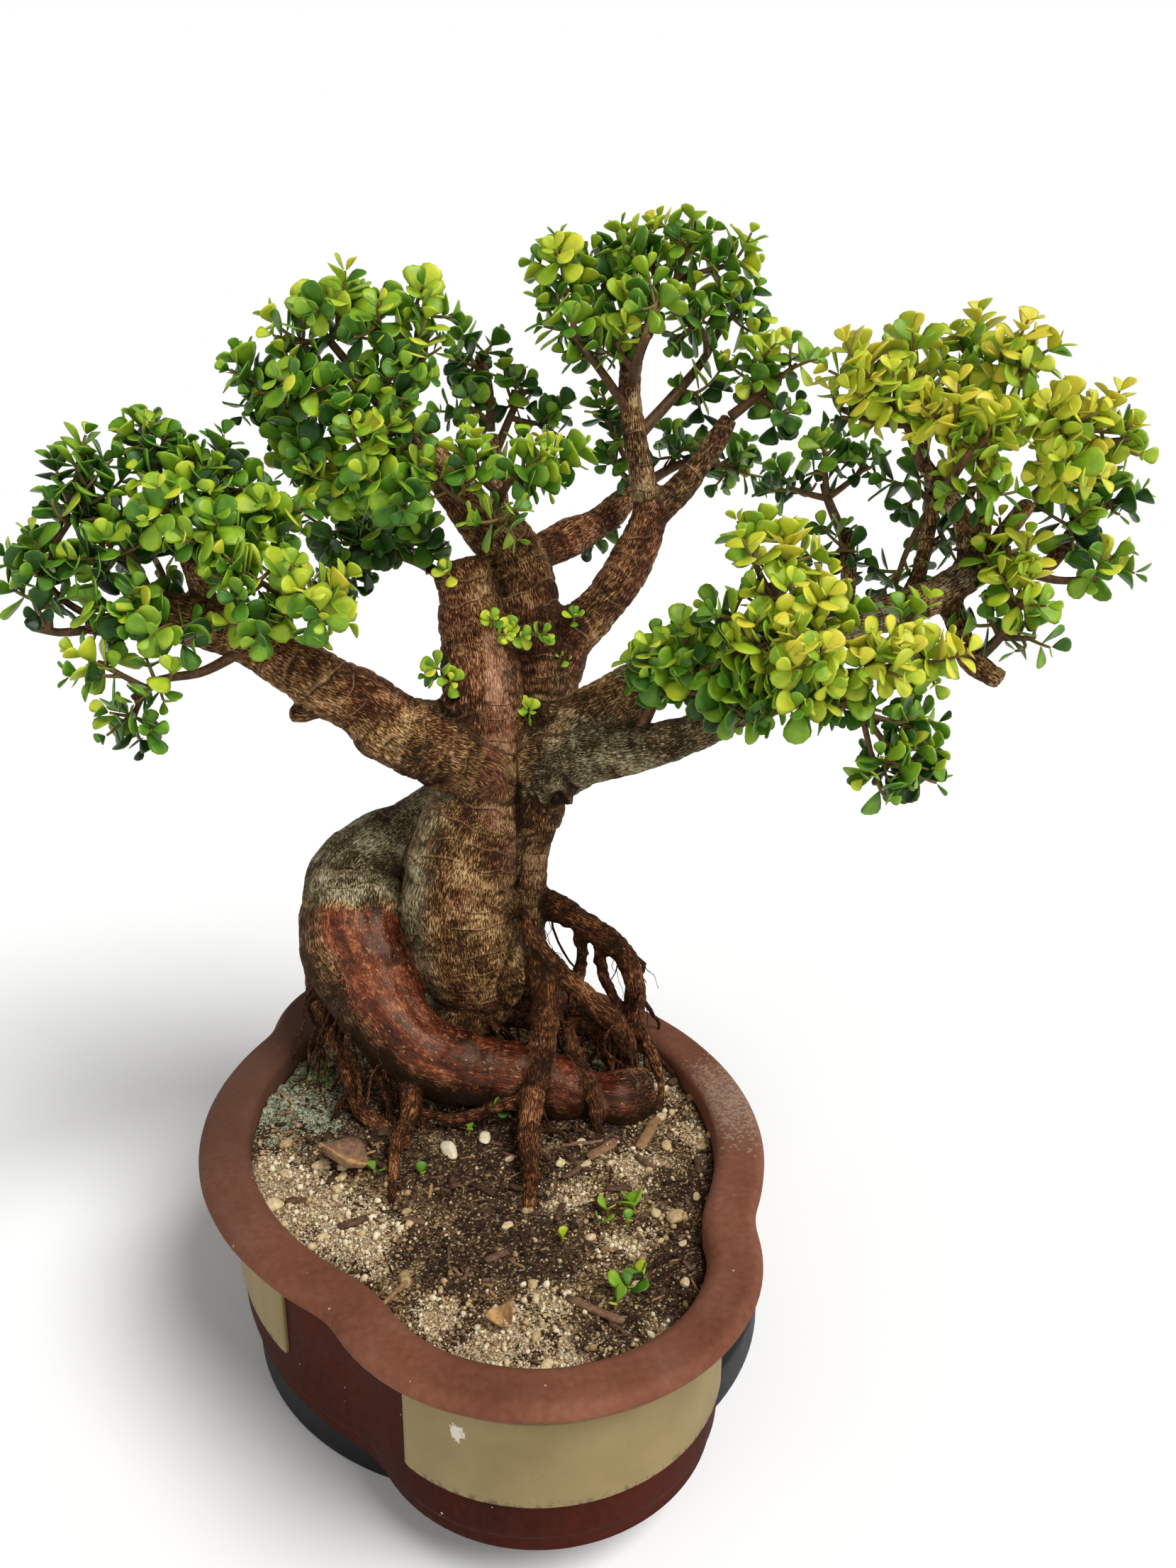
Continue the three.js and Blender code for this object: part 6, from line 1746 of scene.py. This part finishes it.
pebbles = [
    (-25, -19, 5.5, 1.9, 95, 1.0), (-1, -12, 4.5, 1.7, 70, 0.97), (-133, -40, 7.5, 1.4, 30, 0.82),
    (-100, -6, 5, 1.3, 10, 0.8), (-88, -14, 3.8, 1.2, 50, 0.85), (-72, -122, 5, 1.2, 80, 0.5),
    (-133, -62, 4, 1.2, 20, 0.85), (80, -120, 5.5, 1.3, 40, 0.66), (137, -51, 5, 1.2, 10, 0.62),
    (-90, -22, 3.5, 1.3, 60, 0.7), (-64, -32, 3.5, 1.2, 30, 0.3), (72, -112, 3.5, 1.2, 80, 0.8),
    (104, -52, 4.2, 1.3, 70, 0.72), (112, -24, 4, 1.2, 20, 0.8), (-118, 24, 4, 1.3, 0, 0.6),
    (-44, -16, 3.5, 1.1, 0, 0.2), (22, -30, 3.2, 1.3, 30, 0.85), (35, -52, 3.6, 1.2, 60, 0.8),
    (49, -58, 3, 1.4, 20, 0.8), (128, 30, 5, 1.2, 10, 0.22), (134, 10, 5, 1.1, 40, 0.2),
    (120, 44, 6, 1.1, 70, 0.2), (140, -10, 4.5, 1.2, 30, 0.3), (-60, 12, 4, 1.1, 0, 0.15),
    (-50, 2, 3.5, 1.2, 50, 0.15), (15, -45, 3.2, 1.3, 80, 0.75), (30, -120, 3, 1.2, 0, 0.8),
    (-10, -96, 3, 1.3, 20, 0.8), (64, -170, 3, 1.2, 60, 0.85), (-20, -200, 3.4, 1.3, 40, 0.8),
    (42, -160, 2.8, 1.2, 0, 0.9), (76, -140, 2.6, 1.4, 30, 0.8), (100, -104, 3, 1.3, 70, 0.7),
    (124, -60, 3.4, 1.2, 10, 0.6), (-122, -8, 3.6, 1.2, 80, 0.7), (-108, -72, 3, 1.4, 20, 0.75),
    (-60, -64, 2.8, 1.2, 0, 0.6), (54, -34, 3.4, 1.2, 45, 0.85), (8, -36, 2.8, 1.3, 15, 0.8),
]

# Seedlings that have rooted from fallen leaves: x, y, height, size, and sun tint with painted shade.

seedlings = [
    (46, -104, 1, 0.92, 0.6), (36, -112, 1, 0.88, 0.52), (62, -106, 3, 0.88, 0.6),
    (52, -118, 1, 0.66, 0.45), (14, -118, 1, 0.66, 0.55), (34, -166, 2, 0.92, 0.42),
    (48, -160, 4, 0.75, 0.6), (24, -174, 1, 0.84, 0.38), (-72, -25, 1, 0.79, 0.52),
    (-47, -38, 1, 0.7, 0.55), (-10, -4, 1, 0.66, 0.52),
]

# Dead leaves: x, y, turn in degrees, lean, length, width, curl, seed of the crumples and tone.

fallen_leaves = [
    (-74, -19, 150, 0.3, 33, 14, 0.42, 1, 0.7), (-36, -158, -75, 0.1, 19, 8, 1.0, 2, 1.0),
]

# Sprouts on the old wood: where they leave it, which way they point, length, size, and sun tint with
# painted shade.

sprouts = [
    ((0, 66, 402), (-0.8, -0.6, 0.35), 9, 0.72, 0.6), ((-2, 68, 398), (-0.9, -0.2, 0.1), 7, 0.62, 0.5),
    ((2, 64, 397), (-0.2, -0.9, 0.0), 7, 0.66, 0.6), ((25, 56, 430), (-0.1, -0.8, 0.5), 8, 0.5, 0.6),
    ((30, 57, 424), (0.3, -0.9, 0.1), 8, 0.5, 0.6), ((44, 72, 420), (0.1, -0.9, 0.1), 12, 0.64, 0.58),
    ((52, 70, 420), (0.6, -0.8, 0.2), 13, 0.64, 0.58), ((40, 66, 423), (-0.2, -0.8, 0.3), 10, 0.55, 0.6),
    ((9, 1, 137), (0.3, -0.9, 0.1), 1, 0.9, 0.3),
    ((5, 63, 458), (-0.5, -0.7, 0.5), 9, 0.6, 0.7), ((52, 68, 371), (-0.1, -0.9, 0.4), 8, 0.7, 0.6),
    ((86, 78, 424), (-0.2, -0.7, 0.7), 9, 0.5, 0.6), ((78, 80, 400), (-0.3, -0.8, 0.5), 7, 0.42, 0.6),
]


def pebble_stones():
    """Angular stones: a ball of 16 x 10 points cut flat on a few random sides, pushed in and out
    by noise, drawn out and turned. A cut brings a point down to 0.72 along the side's normal."""
    random = np.random.default_rng(61)
    round_turn = np.linspace(0, 2 * np.pi, 16, endpoint=False)[None]
    lift = np.linspace(-np.pi / 2, np.pi / 2, 12)[1:-1, None]
    ball = np.stack([
        np.cos(lift) * np.cos(round_turn), np.cos(lift) * np.sin(round_turn),
        np.sin(lift) + 0 * round_turn,
    ], axis=-1)
    parts, tones = [], []
    for number, (x, y, size, longer, turn, tone) in enumerate(pebbles):
        shape = ball * (1 + 0.12 * noise(ball.reshape(-1, 3) + 9 * number, 0.8, 62).reshape(10, 16, 1))
        for side in unit(random.normal(size=(7, 3))):
            over = np.maximum(shape @ side - 0.72, 0)
            shape = shape - over[..., None] * side
        shape = shape * size * [longer, 0.85, 0.6]
        ahead, beside = swung(shape[..., 0], shape[..., 1], np.radians(turn))
        shape = np.stack([ahead, beside, shape[..., 2]], axis=-1)
        parts.append(skin(shape + [x, y, soil_at(x, y) + 0.25 * size]))
        tones.append(np.full(len(parts[-1][0]), tone))
    return (*joined(parts), np.concatenate(tones))


def wood_litter():
    """The named chips and twigs, and several hundred dark scraps strewn on the humus."""
    random = np.random.default_rng(71)
    named = np.array(chips, float)
    x, y = named[:, 0], named[:, 1]
    z = soil_height(x, y) + 0.4 * named[:, 5]
    points, faces = slivers(
        np.stack([x, y, z], axis=1), np.radians(named[:, 2]), random.normal(0, 0.06, len(named)),
        named[:, 3], named[:, 4], named[:, 5], random,
    )
    places = random.uniform((-145, -215), (145, 120), (9000, 2))
    flat = np.concatenate([places, np.zeros((len(places), 1))], axis=1)
    chance = 0.08 + 0.3 * spots_at(flat, humus_spots) - 0.06 * spots_at(flat, sand_spots)
    keep = inside_pot(*places.T, soil_inset + 5) & (random.random(len(places)) < chance)
    places = places[keep][:900]
    count = len(places)
    z = soil_height(*places.T) + 0.5
    scraps, scrap_faces = slivers(
        np.concatenate([places, z[:, None]], axis=1), random.uniform(0, np.pi, count),
        random.normal(0, 0.2, count), random.lognormal(1.5, 0.5, count), random.uniform(0.8, 3, count),
        random.uniform(0.8, 2, count), random,
    )
    tones = np.concatenate([named[:, 6], random.uniform(0.05, 0.85, count) ** 1.4])
    corners_each = len(points) // len(named)
    return (*joined([(points, faces), (scraps, scrap_faces)]), np.repeat(tones, corners_each))


def dead_leaf(x, y, turn, lean, length, wide, curl, seed, tone):
    """A dry leaf and its tones: rings of a thin lens across it, half as wide as wide * sin(pi
    v^0.85)^1.1, dished across by curl * (s half)^2 / wide, arched along, crumpled by noise and leaned up
    from the soil. Its midrib is paler, partly its own colour and partly a painted highlight along it, and
    its margin darker."""
    v = np.linspace(0.02, 0.98, 22)[:, None]
    s = np.concatenate([np.linspace(-1, 1, 11), np.linspace(1, -1, 11)[1:-1]])[None]
    over = np.concatenate([np.ones(11), -np.ones(9)])[None]
    half = wide * np.sin(np.pi * v**0.85) ** 1.1
    shape = np.stack([length * (v + 0 * s), half * s, 0 * v + 0 * s], axis=-1)
    crumple = noise(shape.reshape(-1, 3) + seed * 31.0, 7, 80).reshape(shape.shape[:2])
    dish = (s * half) ** 2 / wide + 0.9 * length * (v - 0.4) ** 2
    shape[..., 2] = curl * dish + 1.5 * crumple + 0.3 * over
    # The paler midrib is partly a painted highlight.
    tones = tone + 0.3 * np.exp(-((s * half / 1.2) ** 2)) - 0.14 * np.abs(s) - 0.1 * v
    along, rise = swung(shape[..., 0], shape[..., 2], lean)
    ahead, beside = swung(along, shape[..., 1], np.radians(turn))
    laid = np.stack([ahead, beside, rise], axis=-1) + [x, y, soil_at(x, y) + 0.5]
    return (*skin(laid), np.concatenate([tones.ravel(), [tone, tone]]))


def dead_leaves():
    """The fallen leaves as one skin, and its tones."""
    made = [dead_leaf(*row) for row in fallen_leaves]
    return (*joined([leaf[:2] for leaf in made]), np.concatenate([leaf[2] for leaf in made]))


def small_shoots(rows, random):
    """Stems and leaf pairs of small shoots, each row a foot, a direction, a length, a leaf size, and a
    sun tint with painted shade."""
    feet = np.array([row[0] for row in rows], float)
    ways = unit(np.array([row[1] for row in rows], float))
    lengths, sizes, sun_tint_and_shade = (np.array([row[k] for row in rows], float) for k in (2, 3, 4))
    ends = feet + ways * (lengths + 3)[:, None]
    bends = (feet + ends) / 2 + [0, 0, -0.8]
    paths = curved(feet - ways * 2, bends, ends, 7, 0.9, 0.6)
    foot, axis, face, size, flesh = leafy_shoots(paths, sun_tint_and_shade, random, 3, 3.4)
    nearest = np.linalg.norm(foot[:, None] - ends[None], axis=2).argmin(axis=1)
    return twigs(paths, 5), (foot, axis, face, size * sizes[nearest], flesh)


def limewashed(add):
    """A floor of matte white limewash."""
    return add(PRINCIPLED, {"Base Color": "#fbfbfa", "Roughness": 0.9})


# Putting the bonsai together

floor_cream = material_from("limewashed_floor", limewashed)
clay = material_from("unglazed_stoneware", stoneware)
band_clay = material_from("cream_slip_clay", cream_slip)
stand_plastic = material_from("satin_polypropylene", black_plastic)
bark = material_from("living_bark", living_bark)
leaf_skin = material_from("waxy_leaf", waxy_leaf)
stem_skin = material_from("young_stem_skin", young_stem)
soil_mix = material_from("pumice_and_humus", potting_soil)
grain_stone = material_from("loose_pumice", loose_grain)
litter_wood = material_from("weathered_litter", dry_litter)

pot_piece = piece("clay_pot", *pot_wall(), clay, "clay")
bored(pot_piece, drain_holes())
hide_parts("pot")
bands = joined([
    band_on(end_radius, end_middle, end_band_half_angle, -np.pi / 2),
    band_on(end_radius, end_middle, end_band_half_angle, np.pi / 2),
    band_on(side_radius, side_middle, side_band_half_angle, 0),
    band_on(side_radius, side_middle, side_band_half_angle, np.pi),
])
piece("pale_bands", *bands, band_clay, "clay")
stand_piece = piece("round_stand", *stand_round(), stand_plastic, "stand")
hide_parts("stand")

bed_points, bed_faces = soil_bed()
soil_spots = {
    "soil_humus": humus_spots, "soil_algae": algae_spots, "soil_moss": moss_spots,
    "soil_sand": sand_spots,
}
soil_zones = {zone: spots_at(bed_points, spots) for zone, spots in soil_spots.items()}
bed = piece("soil_bed", bed_points, bed_faces, soil_mix, "soil", soil_zones)
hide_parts("soil")
strewn("grit", grit(), grain_stone, "grain_tone", smooth=False)

wood_points, wood_faces, wood_attributes = weathered_wood()
wood_piece = piece("bark_wood", wood_points, wood_faces, bark, "bark", wood_attributes)
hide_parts("wood")

for cluster in clusters:
    crown_cluster(cluster, leaf_skin, stem_skin)

root_parts = [
    twigs(hanging_roots(41, 1, (0.9, 2.2), (0.75, 1.0)), 6),
    twigs(hanging_roots(42, 1.6, (0.25, 0.6), (0.2, 0.9)), 4),
]
root_points, root_faces = joined(root_parts)
root_zones = {
    "bark_place": root_points,
    "bark_root": np.ones(len(root_points)),
    # The fine roots are painted a quarter to a half of the way into shade.
    "bark_painted_shade": 0.25 + 0.25 * noise(root_points, 12, 90),
}
piece("fine_roots", root_points, root_faces, bark, "bark", root_zones)

strewn("pebbles", pebble_stones(), grain_stone, "grain_tone")
strewn("wood_litter", wood_litter(), litter_wood, "litter_tone", smooth=False)
strewn("dead_leaves", dead_leaves(), litter_wood, "litter_tone")

random = np.random.default_rng(95)
rows = [
    ((x, y, soil_top - 1), (random.normal(0, 0.3), random.normal(0, 0.3), 1), tall, size, sun_tint_and_shade)
    for x, y, tall, size, sun_tint_and_shade in seedlings
]
for name, made_rows in (("seedlings", rows), ("sprouts", sprouts)):
    (stem_points, stem_faces), values = small_shoots(made_rows, random)
    points, faces, flesh, rim = leaf_blades(*values, random)
    blade_values = {"leaf_sun_tint_and_shade": flesh, "leaf_edge": rim}
    piece(f"{name}_leaves", points, faces, leaf_skin, "leaf", blade_values)
    youth = {"stem_youth": np.full(len(stem_points), 0.8)}
    piece(f"{name}_stems", stem_points, stem_faces, stem_skin, "bark", youth)

# Camera: its place, direction and lens give the photograph's view.

camera_place = (-153.1, -630.9, 542.4)
camera_heading = np.array([0.332, 0.943, 0.0])
camera_pitch, camera_roll = np.radians(16.69), np.radians(0.42)
lens_length, sensor_height = 27.03, 36

camera = bpy.data.cameras.new("camera")
camera.sensor_fit = "VERTICAL"
camera.sensor_height = sensor_height
camera.lens = lens_length
camera.clip_start = 0.05
view = bpy.data.objects.new("camera", camera)
ahead = unit(camera_heading)
right = np.array([ahead[1], -ahead[0], 0.0])
look = ahead * np.cos(camera_pitch) - np.array([0, 0, np.sin(camera_pitch)])
up = np.cross(right, look)
up, right = swung(up, right, camera_roll)
axes = np.stack([right, up, -look, np.array(camera_place) * MM], axis=1)
view.matrix_world = Matrix([*axes.tolist(), [0, 0, 0, 1]])
bpy.context.scene.collection.objects.link(view)
bpy.context.scene.camera = view

# Floor and light: a pale floor under a sky that is white low down and grey above, with a broad
# soft lamp high on the front right and a weaker one on the front left.

floor_reach = 6000
floor_corners = floor_reach * np.array([(-1, -1, 0), (1, -1, 0), (1, 1, 0), (-1, 1, 0)], float)
floor = bpy.data.objects.new("floor", mesh_of("floor", floor_corners, [np.array([[0, 1, 2, 3]])]))
floor.data.materials.append(floor_cream)
bpy.context.scene.collection.objects.link(floor)


def soft_sun(name, toward, softness, power):
    """A distant lamp that shines from a direction and is as many degrees across as its softness."""
    lamp = bpy.data.lights.new(name, "SUN")
    lamp.angle = np.radians(softness)
    lamp.energy = power
    made = bpy.data.objects.new(name, lamp)
    back = unit(np.array(toward, float))
    across = unit(np.cross([0, 0, 1.0], back))
    rise = np.cross(back, across)
    axes = np.stack([across, rise, back, np.zeros(3)], axis=1)
    made.matrix_world = Matrix([*axes.tolist(), [0, 0, 0, 1]])
    bpy.context.scene.collection.objects.link(made)


soft_sun("key_light", (0.55, -0.8, 1.25), 34, 3.05)
soft_sun("fill_light", (-0.9, -0.8, 0.7), 50, 0.4)

sky = bpy.data.worlds.new("pale_sky")
sky.use_nodes = True
sky.node_tree.nodes.clear()
add = functools.partial(add_node, sky.node_tree)
height = add(inputs={0: add("ShaderNodeTexCoord", output="Generated")}, **HEIGHT_OF)
glow = add(RAMP, {0: height}, stops=[(0.31, "#ffffff"), (0.55, "#5d5a57")])
air = add("ShaderNodeBackground", {"Color": glow, "Strength": 1.0})
add("ShaderNodeOutputWorld", {"Surface": air})
bpy.context.scene.world = sky

bpy.context.scene.view_settings.view_transform = "Standard"
